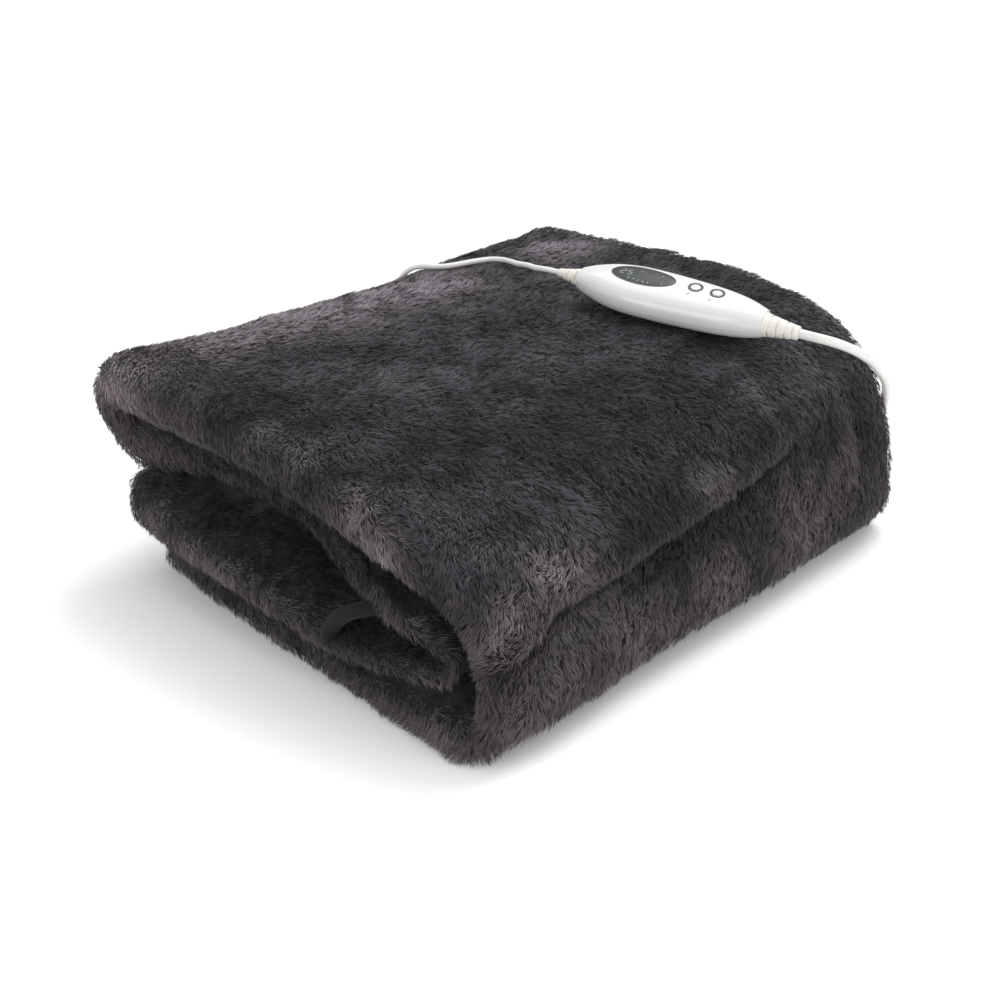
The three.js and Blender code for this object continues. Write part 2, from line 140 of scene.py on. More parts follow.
def grid_faces(rows, columns, close_rows=False):
    """Quads between each ring of points and the next, and from the last to the first if asked."""
    r = np.arange(rows if close_rows else rows - 1)[:, None]
    c = np.arange(columns)[None, :]
    r2, c2 = (r + 1) % rows, (c + 1) % columns
    corners = (r * columns + c, r * columns + c2, r2 * columns + c2, r2 * columns + c)
    return np.stack([x.reshape(-1) for x in corners], axis=1)


def drum_faces(rows, columns):
    """Quads between rings of points, and one face of many sides over each end ring."""
    k = np.arange(columns)
    return [grid_faces(rows, columns), np.stack([k, (rows - 1) * columns + k])]


def fanned(path, rings):
    """Points and faces of rings along a path, with a fan from each end ring to the path's end."""
    rows, count = rings.shape[:2]
    k = np.arange(count)
    m = (k + 1) % count
    end = (rows - 1) * count
    first, last = np.full(count, rows * count), np.full(count, rows * count + 1)
    caps = np.concatenate([np.stack([first, m, k], 1), np.stack([last, end + k, end + m], 1)])
    points = np.concatenate([rings.reshape(-1, 3), path[:1], path[-1:]])
    return points, [grid_faces(rows, count), caps]


def mesh_piece(name, points, faces, material, body="root", uv=None, sharp=None):
    """An object of that name from points in millimetres and a list of arrays of faces, with its
    faces turned outwards as one closed surface where sharp, an angle in degrees, is given."""
    mesh = bpy.data.meshes.new(name)
    counts = np.concatenate([np.full(len(f), f.shape[1]) for f in faces])
    corners = np.concatenate([f.reshape(-1) for f in faces]).astype(np.int32)
    mesh.vertices.add(len(points))
    mesh.vertices.foreach_set("co", (np.asarray(points, np.float32) * MM).reshape(-1))
    mesh.loops.add(len(corners))
    mesh.loops.foreach_set("vertex_index", corners)
    mesh.polygons.add(len(counts))
    starts = np.concatenate([[0], np.cumsum(counts)[:-1]]).astype(np.int32)
    mesh.polygons.foreach_set("loop_start", starts)
    mesh.polygons.foreach_set("use_smooth", np.ones(len(counts), bool))
    mesh.update(calc_edges=True)
    for layer, values in (uv or {}).items():
        flat = np.asarray(values, np.float32)[corners].reshape(-1)
        mesh.uv_layers.new(name=layer).data.foreach_set("uv", flat)
    if sharp is not None:
        shape = bmesh.new()
        shape.from_mesh(mesh)
        bmesh.ops.recalc_face_normals(shape, faces=shape.faces)
        shape.to_mesh(mesh)
        shape.free()
        mesh.set_sharp_from_angle(angle=math.radians(sharp))
    mesh.materials.append(material)
    piece = bpy.data.objects.new(name, mesh)
    bpy.context.collection.objects.link(piece)
    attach(piece, body)
    return piece


# ---- materials ----
def new_material(name, **sockets):
    """A material whose Principled shader has the given constants, and that shader."""
    material = bpy.data.materials.new(name)
    material.use_nodes = True
    shader = material.node_tree.nodes["Principled BSDF"]
    for key, value in sockets.items():
        shader.inputs[key.replace("_", " ")].default_value = value
    return material, shader


def node(tree, kind, **settings):
    """A node of that kind; a setting whose name is an input's goes to the input."""
    made = tree.nodes.new(kind)
    for key, value in settings.items():
        label = key.replace("_", " ")
        if label in made.inputs:
            made.inputs[label].default_value = value
        else:
            setattr(made, key, value)
    return made


def group_of(name, inputs, outputs):
    """An empty node group with those sockets, its tree, its way in and its way out."""
    tree = bpy.data.node_groups.new(name, "ShaderNodeTree")
    for label, kind, value in inputs:
        socket = tree.interface.new_socket(label, in_out="INPUT", socket_type=kind)
        if value is not None:
            socket.default_value = value
    for label, kind in outputs:
        tree.interface.new_socket(label, in_out="OUTPUT", socket_type=kind)
    return tree, tree.nodes.new("NodeGroupInput"), tree.nodes.new("NodeGroupOutput")


def place_group(material, tree, **values):
    """That group in a material, with its own values."""
    made = material.node_tree.nodes.new("ShaderNodeGroup")
    made.node_tree = tree
    for key, value in values.items():
        made.inputs[key.replace("_", " ")].default_value = value
    return made


FLOAT, COLOR = "NodeSocketFloat", "NodeSocketColor"
MIX_FIRST, MIX_SECOND, MIX_RESULT = 6, 7, 2  # the colour sockets of a Mix node


def worked(tree, operation, *values):
    """The result of a Math node on values, each of them an output or a number."""
    made = node(tree, "ShaderNodeMath", operation=operation)
    for socket, value in zip(made.inputs, values):
        if isinstance(value, bpy.types.NodeSocket):
            tree.links.new(value, socket)
        else:
            socket.default_value = value
    return made.outputs["Value"]


def eased(tree, source, low, high, **ends):
    """An even S of a value, from 0 at low to 1 at high unless other ends are given."""
    made = node(tree, "ShaderNodeMapRange", interpolation_type="SMOOTHSTEP",
                From_Min=low, From_Max=high, **ends)
    tree.links.new(source, made.inputs["Value"])
    return made.outputs["Result"]


def mixed(tree, factor, first, second):
    """The colour that a factor mixes from two others."""
    made = node(tree, "ShaderNodeMix", data_type="RGBA")
    for socket, source in (("Factor", factor), (MIX_FIRST, first), (MIX_SECOND, second)):
        tree.links.new(source, made.inputs[socket])
    return made.outputs[MIX_RESULT]


BODY_WHOLE = 0.55  # how far along a strand the root's colour has gone over to the body's
TIP_BEGINS = 0.45  # and how far along the tip's begins
# painted shade: a strand with little tint goes back towards its root colour
PAINTED_SHADE_TINT, PAINTED_SHADE_SHARE = 0.13, 0.8  # below that tint, up to that share of Root is mixed in


def strand_group():
    """Colour of one strand of pile: from Root to Tip along the strand, where Along goes from 0 to
    1, then lightened towards Frost by Tint, which is even on a strand and differs between
    them. Tint holds random tone, painted sheen and painted shade; a strand with hardly any Tint,
    as where painted shade lies in a dip or crease, goes back towards Root."""
    tree, way_in, way_out = group_of(
        "strand_colour",
        [("Tint", FLOAT, 0.5), ("Along", FLOAT, 0.5), ("Root", COLOR, None),
         ("Body", COLOR, None), ("Tip", COLOR, None), ("Frost", COLOR, None)],
        [("Color", COLOR)],
    )
    given = way_in.outputs
    rise = eased(tree, given["Along"], 0.0, BODY_WHOLE)
    end = eased(tree, given["Along"], TIP_BEGINS, 1.0)
    painted_shade = eased(tree, given["Tint"], 0.0, PAINTED_SHADE_TINT, To_Min=PAINTED_SHADE_SHARE, To_Max=0.0)
    reach = worked(tree, "MULTIPLY", given["Tint"], rise)
    low = mixed(tree, rise, given["Root"], given["Body"])
    high = mixed(tree, end, low, given["Tip"])
    frost_and_sheen = mixed(tree, reach, high, given["Frost"])
    shade = mixed(tree, painted_shade, frost_and_sheen, given["Root"])
    tree.links.new(shade, way_out.inputs["Color"])
    return tree


def grain_group():
    """Fine unevenness of a moulded or woven surface: noise of the given fineness in Object
    coordinates, as a height for bump, and as a factor round 1 for roughness."""
    tree, way_in, way_out = group_of(
        "fine_grain",
        [("Fineness", FLOAT, 900.0), ("Amount", FLOAT, 0.1)],
        [("Height", FLOAT), ("Factor", FLOAT)],
    )
    place = node(tree, "ShaderNodeTexCoord")
    noise = node(tree, "ShaderNodeTexNoise", Detail=3.0, Roughness=0.6)
    tree.links.new(place.outputs["Object"], noise.inputs["Vector"])
    tree.links.new(way_in.outputs["Fineness"], noise.inputs["Scale"])
    centred = worked(tree, "SUBTRACT", noise.outputs["Fac"], 0.5)
    factor = worked(tree, "MULTIPLY_ADD", centred, way_in.outputs["Amount"], 1.0)
    tree.links.new(noise.outputs["Fac"], way_out.inputs["Height"])
    tree.links.new(factor, way_out.inputs["Factor"])
    return tree


STRAND = strand_group()
GRAIN = grain_group()


def strand_material(name, root, body, tip, frost_and_sheen):
    """Silky strands, coloured by their own map: across it the tint, which carries painted sheen and
    painted shade, up it the place along.
    """
    material, shader = new_material(
        name, Roughness=0.5, Specular_IOR_Level=0.2, Sheen_Weight=0.07, Sheen_Roughness=0.4,
        Sheen_Tint=(0.80, 0.78, 0.86, 1),
    )
    tree = material.node_tree
    where = node(tree, "ShaderNodeUVMap", uv_map="Blade")
    split = node(tree, "ShaderNodeSeparateXYZ")
    tree.links.new(where.outputs["UV"], split.inputs["Vector"])
    colour = place_group(material, STRAND, Root=(*root, 1), Body=(*body, 1), Tip=(*tip, 1),
                         Frost=(*frost_and_sheen, 1))
    tree.links.new(split.outputs["X"], colour.inputs["Tint"])
    tree.links.new(split.outputs["Y"], colour.inputs["Along"])
    tree.links.new(colour.outputs["Color"], shader.inputs["Base Color"])
    return material


def tinted(name, low, high, fineness, amount, bump, depth, roughness, specular, **sockets):
    """Two near colours mixed by fine grain, which also moves the roughness and gives bump."""
    material, shader = new_material(name, Specular_IOR_Level=specular, **sockets)
    tree = material.node_tree
    grain = place_group(material, GRAIN, Fineness=fineness, Amount=amount)
    mix = node(tree, "ShaderNodeMix", data_type="RGBA")
    mix.inputs[MIX_FIRST].default_value = (*low, 1)
    mix.inputs[MIX_SECOND].default_value = (*high, 1)
    tree.links.new(grain.outputs["Height"], mix.inputs["Factor"])
    tree.links.new(mix.outputs[MIX_RESULT], shader.inputs["Base Color"])
    rough = worked(tree, "MULTIPLY", grain.outputs["Factor"], roughness)
    tree.links.new(rough, shader.inputs["Roughness"])
    raised = node(tree, "ShaderNodeBump", Strength=bump, Distance=depth)
    tree.links.new(grain.outputs["Height"], raised.inputs["Height"])
    tree.links.new(raised.outputs["Normal"], shader.inputs["Normal"])
    return material


# The pile's colours at a strand's root, body and tip, and the lightest it goes, in two copies of
# one fabric, a cooler for the top and a warmer for the sides: painted light of those colours.
COOL_LIT_PILE = strand_material("cool_pile", (0.0115, 0.0110, 0.0138), (0.0165, 0.0157, 0.0202),
                            (0.0245, 0.0234, 0.0300), (0.245, 0.216, 0.238))
WARM_LIT_PILE = strand_material("warm_pile", (0.0118, 0.0105, 0.0114), (0.0182, 0.0158, 0.0173),
                            (0.0280, 0.0237, 0.0262), (0.250, 0.204, 0.217))
# Every other finish: its name, two near colours, the grain's fineness and amount, the bump's
# strength and depth, roughness and specular level.
CLOTH = tinted("pile_ground", (0.0150, 0.0140, 0.0165), (0.022, 0.0205, 0.0245),
               260, 0.2, 0.6, 0.002, 0.9, 0.2, Sheen_Weight=0.2)
BINDING = tinted("binding_weave", (0.006, 0.006, 0.0062), (0.011, 0.011, 0.0115),
                 1500, 0.3, 0.5, 0.0004, 0.85, 0.15, Sheen_Weight=0.05)
SHEATH = tinted("cord_white", (0.62, 0.615, 0.60), (0.67, 0.665, 0.65),
                700, 0.25, 0.08, 0.0004, 0.38, 0.5, Subsurface_Weight=0.05)
SHELL = tinted("shell_white", (0.60, 0.60, 0.595), (0.63, 0.63, 0.625),
               400, 0.15, 0.02, 0.0002, 0.2, 0.5, Coat_Weight=0.35, Coat_Roughness=0.08)
LOWER_SHELL = tinted("shell_lower", (0.53, 0.53, 0.525), (0.56, 0.56, 0.555),
                     400, 0.15, 0.02, 0.0002, 0.32, 0.45)
RUBBER = tinted("boot_ivory", (0.62, 0.60, 0.55), (0.68, 0.66, 0.61),
                500, 0.2, 0.1, 0.0003, 0.5, 0.35)
GLASS = tinted("window_dark", (0.018, 0.022, 0.021), (0.024, 0.029, 0.028),
               300, 0.1, 0.02, 0.0002, 0.3, 0.22)
RING = tinted("ring_bronze", (0.055, 0.052, 0.048), (0.085, 0.08, 0.074),
              800, 0.2, 0.05, 0.0003, 0.35, 0.5)
CAP = tinted("button_pearl", (0.54, 0.54, 0.535), (0.58, 0.58, 0.575),
             500, 0.15, 0.02, 0.0002, 0.25, 0.5)
MARK = tinted("mark_pale", (0.28, 0.30, 0.30), (0.36, 0.38, 0.38),
              600, 0.2, 0.02, 0.0001, 0.6, 0.5)
INK = tinted("mark_grey", (0.10, 0.10, 0.10), (0.14, 0.14, 0.14),
             600, 0.2, 0.02, 0.0001, 0.6, 0.5)
METAL = tinted("pin_nickel", (0.50, 0.49, 0.46), (0.58, 0.57, 0.54),
               900, 0.3, 0.05, 0.0002, 0.25, 0.5, Metallic=1.0)

# ---- cords ----
# The blanket's own lead, from the handset over the left edge and into the folds.
LEAD_DIAMETER = 3.9
LEAD_ROUTE = [
    (-23.5, 79.6, 167), (-33, 77.4, 167.5), (-44, 78.2, 166.4), (-56.6, 83.5, 164.6),
    (-74, 93, 160.2), (-90, 101.5, 157), (-102, 105.6, 155.2), (-111, 102.5, 154.4),
    (-116, 93, 154.1), (-119.5, 81, 153.9), (-124.5, 70.5, 153.2), (-132.5, 64.5, 152.5),
    (-143.5, 63, 150.8), (-156, 64, 146.4), (-168, 65, 138), (-176.6, 66, 126),
    (-180.5, 66, 111.5), (-179.5, 66, 97), (-174, 66, 83), (-167, 66, 71), (-160, 66, 60.5),
    (-154.5, 66, 55), (-148, 66, 52.2),
]
# The mains lead, from the handset's other end over the far right edge, down behind the folds
# and along the floor to the coil, and its tail from the coil to the plug.
MAINS_DIAMETER = 6.2
MAINS_ROUTE = [
    (145.3, 120.9, 152.1), (153, 122.8, 151.4), (160.5, 126.3, 150.2), (167.2, 132.3, 147.6),
    (172.2, 140.8, 143.2), (175.4, 150.8, 137.2), (176.5, 162, 130), (176.5, 172, 122),
    (174.8, 182.5, 114), (171.8, 193, 105.5), (167.5, 203, 94.5), (163, 209.5, 81),
    (158.5, 213, 66), (155.2, 215.4, 49), (152.3, 217.4, 34.5), (147, 219.8, 21.5),
    (138, 222, 11), (126, 223.6, 5.4), (112, 224.6, 3.4), (90, 225.5, 3.2),
    (52, 226, 3.2), (12, 225, 3.2), (-18, 223.7, 3.2), (-38, 223.2, 3.2),
]
TAIL_ROUTE = [
    (-27, 299.5, 15.5), (-19, 299.5, 14.7), (-12.5, 299.5, 12), (-6.5, 299.5, 10.2),
    (-0.4, 299.5, 10),
]
# The coil: its middle, its mean radius, and where each turn lies in its section, as steps of
# half a diameter out from that radius and as layers up.
COIL_MIDDLE = (-58, 265.5)
COIL_RADIUS = 37.2
COIL_SLOTS = [(1, 0), (-1, 0), (-1, 1), (1, 1), (1, 2), (-1, 2)]
COIL_TURNS = 5.5
COIL_CHANGE = 30  # degrees over which a turn moves to the next slot
COIL_STEPS = 90  # points worked out for each turn
COIL_THINNED = 3  # one in so many of them guides the route
LEAD_SIDES, MAINS_SIDES = 16, 12
ROUTE_STEPS = 40  # of the cubic for each point of a route


def smooth_route(route, spacing=1.5):
    """Points evenly spaced along the cubic through a route."""
    fine = cubic(route, np.linspace(0, len(route) - 1, ROUTE_STEPS * len(route)))
    way = np.concatenate([[0], np.cumsum(np.linalg.norm(np.diff(fine, axis=0), axis=1))])
    even = np.linspace(0, way[-1], int(way[-1] / spacing) + 2)
    return np.stack([np.interp(even, way, fine[:, k]) for k in range(3)], axis=1)


def coil_path():
    """Clockwise turns about the coil's middle, from its near side to its far one; a turn keeps
    its slot, and eases over to the next one in its last COIL_CHANGE degrees."""
    turned = np.linspace(0, COIL_TURNS * 360, int(COIL_TURNS * COIL_STEPS))[1:-1]
    slots = np.array(COIL_SLOTS, float)
    turn = np.clip((turned / 360).astype(int), 0, len(slots) - 1)
    after = np.clip(turn + 1, 0, len(slots) - 1)
    change = ramp(turned - turn * 360, 360 - COIL_CHANGE, 360)[:, None]
    slot = lerp(slots[turn], slots[after], change)
    radius = COIL_RADIUS + slot[:, 0] * MAINS_DIAMETER / 2
    height = (0.5 + slot[:, 1]) * MAINS_DIAMETER
    angle = np.radians(-90 - turned)
    x = COIL_MIDDLE[0] + radius * np.cos(angle)
    y = COIL_MIDDLE[1] + radius * np.sin(angle)
    return np.stack([x, y, height], axis=1)


def tube(path, radius, sides):
    """Rings round a path: each ring's frame is the last one's, turned by the least that squares
    it to the path."""
    heading = unit(np.gradient(path, axis=0))
    across = np.empty_like(path)
    across[0] = unit(np.cross(heading[0], (0.0, 0.3, 1.0)))
    for i in range(1, len(path)):
        across[i] = unit(across[i - 1] - heading[i] * (across[i - 1] @ heading[i]))
    other = np.cross(heading, across)
    angle = circle(sides)[None, :, None]
    ring = np.cos(angle) * across[:, None] + np.sin(angle) * other[:, None]
    return fanned(path, path[:, None] + ring * radius)


def add_cord(name, path, diameter, sides):
    """A round cord along a path, in the white sheath."""
    points, faces = tube(path, diameter / 2, sides)
    piece = mesh_piece(name, points, faces, SHEATH, sharp=60)
    return piece


lead_path = smooth_route(LEAD_ROUTE)
lead = add_cord("lead_to_blanket", lead_path, LEAD_DIAMETER, LEAD_SIDES)
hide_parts("blanket_lead")

mains_points = np.concatenate([MAINS_ROUTE, coil_path()[::COIL_THINNED], TAIL_ROUTE])
mains_path = smooth_route(mains_points, spacing=3.0)
mains = add_cord("lead_to_mains", mains_path, MAINS_DIAMETER, MAINS_SIDES)
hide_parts("mains_lead", "mains_coil", "mains_tail")


# ---- the cloth's folds ----
# The blanket is folded twice lengthwise into a strip of four plies, and the strip is wound in
# four passes. One row is one place along the strip, from its lower free end: x, height and
# thickness of the strip's middle at its near edge (0) and its far edge (1), the y of the two
# edges, and how far the strip's upper side sags between them.
STRIP_COLUMNS = ("x0", "z0", "t0", "x1", "z1", "t1", "near", "far", "sag")
STRIP = [
    # bottom end and bottom
    (-134, 11, 22, -138, 15, 30, -187, 203.5, 0),
    (-68, 11, 22, -68, 15, 30, -196, 207.5, 0),
    (7, 11, 22, 7, 15, 30, -202, 207.5, 0),
    (74, 11, 22, 74, 15, 30, -205, 207.5, 0),
    (140, 11, 22, 138, 15, 30, -209, 208.5, 0),
    # outer turn
    (165, 10.5, 20, 163, 15, 28, -209.5, 205.5, 0),
    (174.5, 17, 18, 173, 25, 26, -203.5, 200.5, 0),
    (177, 38, 18, 172.5, 50, 25, -202.5, 198.5, 0),
    (169, 65, 25, 163, 84, 30, -199.5, 200.5, 0),
    (150, 88, 33, 145, 112, 36, -201.5, 202.5, 0),
    # top
    (116, 102, 37, 110, 130.5, 41, -205.5, 209.5, 4),
    (66, 116, 41, 58, 138.5, 45, -207.5, 214.5, 7),
    (4, 127, 45, 2, 141.5, 46, -208.5, 218.5, 9),
    (-64, 130, 50, -58, 139.5, 47, -206.5, 219.5, 10),
    (-138, 130, 48, -124, 138, 47, -206.5, 215.5, 9),
    # left turn
    (-161.5, 122.5, 37, -148.5, 133, 39, -203.5, 212.5, 6),
    (-169.5, 104.5, 35, -157, 114.5, 36, -199.5, 209.5, 2),
    (-161, 86.5, 33, -148, 95, 33, -191.5, 207.5, 0),
    # upper
    (-134, 81, 32, -122, 88, 32, -182.5, 205.5, 0),
    (-58, 84, 29, -50, 88, 32, -174.5, 205.5, 0),
    (20, 88, 27, 24, 88, 32, -186.5, 205.5, 0),
    (74, 75, 23, 72, 87, 31, -201.5, 205.5, 0),
    (120, 58, 16, 104, 84, 27, -200.5, 205.5, 0),
    # inner turn
    (144, 54, 11, 121, 78.5, 24, -198.5, 201.5, 0),
    (149, 46, 10, 127, 67.5, 23, -196.5, 197.5, 0),
    (144, 38, 10, 121, 56, 24, -198.5, 201.5, 0),
    # lower and lower end
    (121, 34, 12, 104, 51, 27, -202.5, 206.5, 0),
    (56, 31, 16, 46, 50, 32, -211.5, 206.5, 0),
    (-24, 40, 26, -28, 50, 33, -213.5, 206.5, 0),
    (-100, 45, 33, -96, 50, 33, -209.5, 206.5, 0),
    (-152, 44.5, 31.5, -141, 50, 31, -198.5, 199.5, 0),
]
STRIP_VALUES = dict(zip(STRIP_COLUMNS, np.array(STRIP, float).T))
STEPS_PER_ROW = 4
ROW_NUDGE = 0.02  # rows to each side, to find the strip's direction
PLY_GAP = 1.4  # air between two plies
STRIP_WIDTH = 410  # near to far edge of a full pass
ROUNDNESS = 0.95  # depth of the near edge's round over its half height
FLAT_POINTS = 26  # across a flat ply
PILE_INSET = 4.2  # the ground cloth lies this far under the pile's outside
INSET_SHARE = 0.2  # and never more than this share of the strip's thickness
FREE_EDGE = 0.55  # thickness of the cloth's two free edges over the rest
NEAR_FLOOR = (0.5, 9)  # heights between which the cloth goes from flat on the floor to free
EDGE_ROUND = 0.975  # share across from which the pile's height draws the strip's edge in
THIN_STRIP = (8, 30)  # thicknesses between which the relief comes in
INNER_PLY, OUTER_PLY = 0.25, 0.75  # how far from the strip's middle, in half thicknesses
INNER_FOLD_STEPS, OUTER_FOLD_STEPS = 5, 15


def along(column, s):
    """That column of the strip at s rows along."""
    return cubic(STRIP_VALUES[column], s)


def middle(s, w):
    """The strip's middle at s rows along and share w across: x, z, the direction square to the
    cloth in the x-z plane (the path's direction turned a quarter), and the thickness."""
    def between(near, far, at):
        return lerp(along(near, at), along(far, at), w)

    last = len(STRIP) - 1
    before, after = np.maximum(0, s - ROW_NUDGE), np.minimum(last, s + ROW_NUDGE)
    dx = between("x0", "x1", after) - between("x0", "x1", before)
    dz = between("z0", "z1", after) - between("z0", "z1", before)
    size = np.hypot(dx, dz)
    sag = along("sag", s) * 4 * w * (1 - w)
    x, z = between("x0", "x1", s), between("z0", "z1", s) - sag / 2
    return x, z, -dz / size, dx / size, between("t0", "t1", s) - sag


def plies_path(start):
    """The cloth's way across the strip, for each value of start, the share at which a flat ply
    begins: in along an inner ply, round the inner near fold, back, round the far fold, in along
    the outer ply underneath, round the near edge and back over the top. Columns: share across
    w, height v in half thicknesses, and the way the cloth faces, fw across and fv up."""
    pieces = []
    one = np.ones_like(start)

    def put(w, v, fw, fv):
        pieces.append(np.stack([w, v * one, fw * one, fv * one], axis=-1))

    def flat(v, low, high, face):
        for f in np.linspace(0, 1, FLAT_POINTS):
            put(low + (high - low) * f, v, 0, face)

    def near_fold(ply, count, down):
        turn = 1 if down else -1
        for angle in np.pi * np.arange(1, count + 1) / (count + 1):
            up, out = turn * math.cos(angle), math.sin(angle)
            put(start * (1 - ply * out), ply * up, -out * turn, up * turn)

    def far_fold(v, radius, count):
        for angle in np.pi * np.arange(1, count + 1) / (count + 1):
            up, out = math.cos(angle), math.sin(angle)
            put(1 - start + start * radius * out, v + radius * up, -out, -up)

    between = (INNER_PLY + OUTER_PLY) / 2
    flat(INNER_PLY, one, start, 1)
    near_fold(INNER_PLY, INNER_FOLD_STEPS, True)
    flat(-INNER_PLY, start, 1 - start, -1)
    far_fold(-between, between - INNER_PLY, INNER_FOLD_STEPS)
    flat(-OUTER_PLY, 1 - start, start, 1)
    near_fold(OUTER_PLY, OUTER_FOLD_STEPS, False)
    flat(OUTER_PLY, start, one, -1)
    return np.stack(pieces, axis=1)


# Soft creases and swellings of the folds. Columns: x, y and z of one end,
# x, y and z of the other, half width, and height, which is below 0 in a valley.
CREASES = [
    # along the right side, from the near corner to the middle, with the swelling above it
    (180, -140, 70, 180, -90, 65, 7, -11), (180, -90, 65, 180, -30, 75, 7, -11),
    (180, -30, 75, 180, 25, 80, 7, -9), (180, 25, 80, 180, 80, 80, 8, -6),
    (180, -75, 80, 175, 20, 95, 12, 5),
    # between the top's near corner and the outer turn under it
    (185, -170, 45, 180, -140, 70, 8, -11), (180, -200, 55, 185, -170, 45, 7, -9),
    # valleys and dimples of the top
    (50, -205, 125, 70, -180, 135, 12, -5), (70, -180, 135, 70, -145, 137, 14, -4),
    (-65, -85, 149, -50, -85, 149, 15, -5), (-45, -190, 150, 20, -195, 144, 17, -4),
    (60, 30, 143, 105, 65, 139, 20, -2.5), (115, 105, 139, 160, 90, 112, 10, -2.5),
    # ridges and swellings of the top
    (-130, 68, 150, -110, 125, 155, 22, 4.5),
    (110, 95, 139, 157, 70, 117, 8, 2.5), (75, -110, 134, 100, -110, 129, 34, 4),
    (110, -180, 124, 140, -165, 113, 28, 3), (130, -90, 121, 138, -30, 122, 18, 2),
    # troughs down the right side
    (170, 130, 104, 185, 120, 47, 7, -7), (170, 160, 102, 185, 155, 51, 7, -7),
    # the lower pass swells at its left end, and the left turn above it sags to meet it
    (-150, -195, 58, -150, -60, 62, 24, 9), (-150, -185, 72, -135, -60, 74, 20, 7),
    # the outer turn bulges out low down
    (188, -165, 20, 188, 150, 20, 26, 9), (192, -205, 16, 190, -130, 18, 28, 15),
]


def crease_height(points):
    """Height of the creases at points: for each, its height times a bell curve of the distance
    from its line, less towards the line's ends."""
    total = np.zeros(len(points))
    for *ends, width, height in CREASES:
        a, b = np.array(ends[:3], float), np.array(ends[3:], float)
        share = np.clip(((points - a) @ (b - a)) / ((b - a) @ (b - a)), 0, 1)
        away = np.linalg.norm(points - (a + share[:, None] * (b - a)), axis=1)
        fade = 0.35 + 0.65 * np.sin(np.pi * np.clip(share, 0.12, 0.88))
        total += height * fade * np.exp(-((away / width) ** 2))
    return total


# The sharp crease where the top's fold lies on the outer turn: its height above the floor at even
# steps along y. Its section is a groove with a lip over it and one under it. Columns: how far up
# from the crease each lies, half width, and height, which is below 0 in the groove.
SEAM_START, SEAM_STEP = -190, 30
SEAM_LEVELS = [52, 62, 69, 72, 74, 78, 82, 84, 88, 94, 100]
SEAM_SHAPE = [(0, 3.2, -4.5), (6.5, 5.0, 2.6), (-7.5, 5.5, 1.6)]


def seam_height(points):
    """Height of the sharp crease at points: bell curves of the distance up or down the side from
    its line, fading towards both ends."""
    y, z = points[:, 1], points[:, 2]
    row = np.clip((y - SEAM_START) / SEAM_STEP, 0, len(SEAM_LEVELS) - 1)
    level = cubic(SEAM_LEVELS, row)
    at_side = ramp(points[:, 0], 150, 168) * ramp(y, -195, -165) * (1 - ramp(y, 55, 105))
    total = np.zeros(len(points))
    for above, width, height in SEAM_SHAPE:
        total += height * np.exp(-(((z - level - above) / width) ** 2))
    return total * at_side


BROAD_SWELL, SMALL_SWELL = (46, 11), (19, 12)  # lattice size and seed of the cloth's unevenness


def relief(points):
    """Height added to the cloth at points: its creases, and broad low unevenness."""
    uneven = 2.2 * lattice_noise(points, *BROAD_SWELL) + 1.5 * lattice_noise(points, *SMALL_SWELL)
    return uneven + crease_height(points)


def cloth_surface():
    """The whole blanket as one closed sheet: for each place along the strip, a ring of points
    that follows plies_path on the cloth's inner face and comes back on its outer one. A ply is
    an eighth of the strip's thickness less half the gap to each side of its middle. The strip's
    outside is drawn in by the pile's height, and raised by relief()."""
    s = np.linspace(0, len(STRIP) - 1, (len(STRIP) - 1) * STEPS_PER_ROW + 1)
    start = along("t0", s) / 2 * ROUNDNESS / STRIP_WIDTH
    path = plies_path(start)
    w, v, fw, fv = (path[..., k] for k in range(4))
    rows = np.broadcast_to(s[:, None], w.shape)
    x, z, nx, nz, t = middle(rows, np.clip(w, 0, 1))
    near, far = along("near", rows), along("far", rows)
    thin = np.ones_like(w)
    thin[[0, -1]] = FREE_EDGE
    inset = np.minimum(PILE_INSET, INSET_SHARE * t)
    cloth_sides = []
    for side in (1, -1):
        pile = side * (t / 8 - PLY_GAP / 2) * thin
        up = v * t / 2 + fv * pile
        px, pz = x + nx * up, z + nz * up
        py = near + (far - near) * w + fw * pile
        floor = ramp(pz, *NEAR_FLOOR)
        outwards = np.clip(2 * up / t, -1, 1)
        drawn = outwards * inset * floor
        edge = inset * floor * (ramp(1 - w, EDGE_ROUND, 1.0) - ramp(w, EDGE_ROUND, 1.0))
        outside = np.stack([px, py, pz], axis=-1).reshape(-1, 3)
        swell = relief(outside).reshape(px.shape) * outwards * floor
        swell *= ramp(t, *THIN_STRIP)
        up = up - drawn + swell
        cloth_sides.append(
            np.stack([x + nx * up, py + edge, np.maximum(z + nz * up, 0)], axis=-1))
    rings = np.concatenate([cloth_sides[0], cloth_sides[1][:, ::-1]], axis=1)
    count = rings.shape[1]
    quads = grid_faces(len(s), count)
    k = np.arange(count // 2 - 1)
    first = np.stack([k, count - 1 - k, count - 2 - k, k + 1], axis=1)
    last = first[:, ::-1] + (len(s) - 1) * count
    return rings.reshape(-1, 3), np.concatenate([quads, first, last])


def outward(points, quads):
    """Quads turned so that the closed surface's volume, the sum of a . (b x c) / 6 over its
    triangles, is positive."""
    a, b, c, d = (points[quads[:, k]] for k in range(4))
    volume = np.einsum("ij,ij->", a, np.cross(b, c)) + np.einsum("ij,ij->", a, np.cross(c, d))
    return quads if volume > 0 else quads[:, ::-1]


cloth_points, cloth_quads = cloth_surface()
cloth_quads = outward(cloth_points, cloth_quads)
cloth = mesh_piece("ground_cloth", cloth_points, [cloth_quads], CLOTH)
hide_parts("blanket")


# ---- where the pile grows ----
SAMPLES_SEED = 5
CLOTH_SAMPLES = 900000
VOXEL = 4.0
VOXEL_MARGIN = 20
OPEN_START = 7  # a line into the air begins this far off the cloth
OPEN_REACH = 88.0
GRAZING = 0.05  # cosine below which a line along the cloth isn't counted
SPHERE = unit(np.array([c for c in np.ndindex(3, 3, 3) if c != (1, 1, 1)], float) - 1)


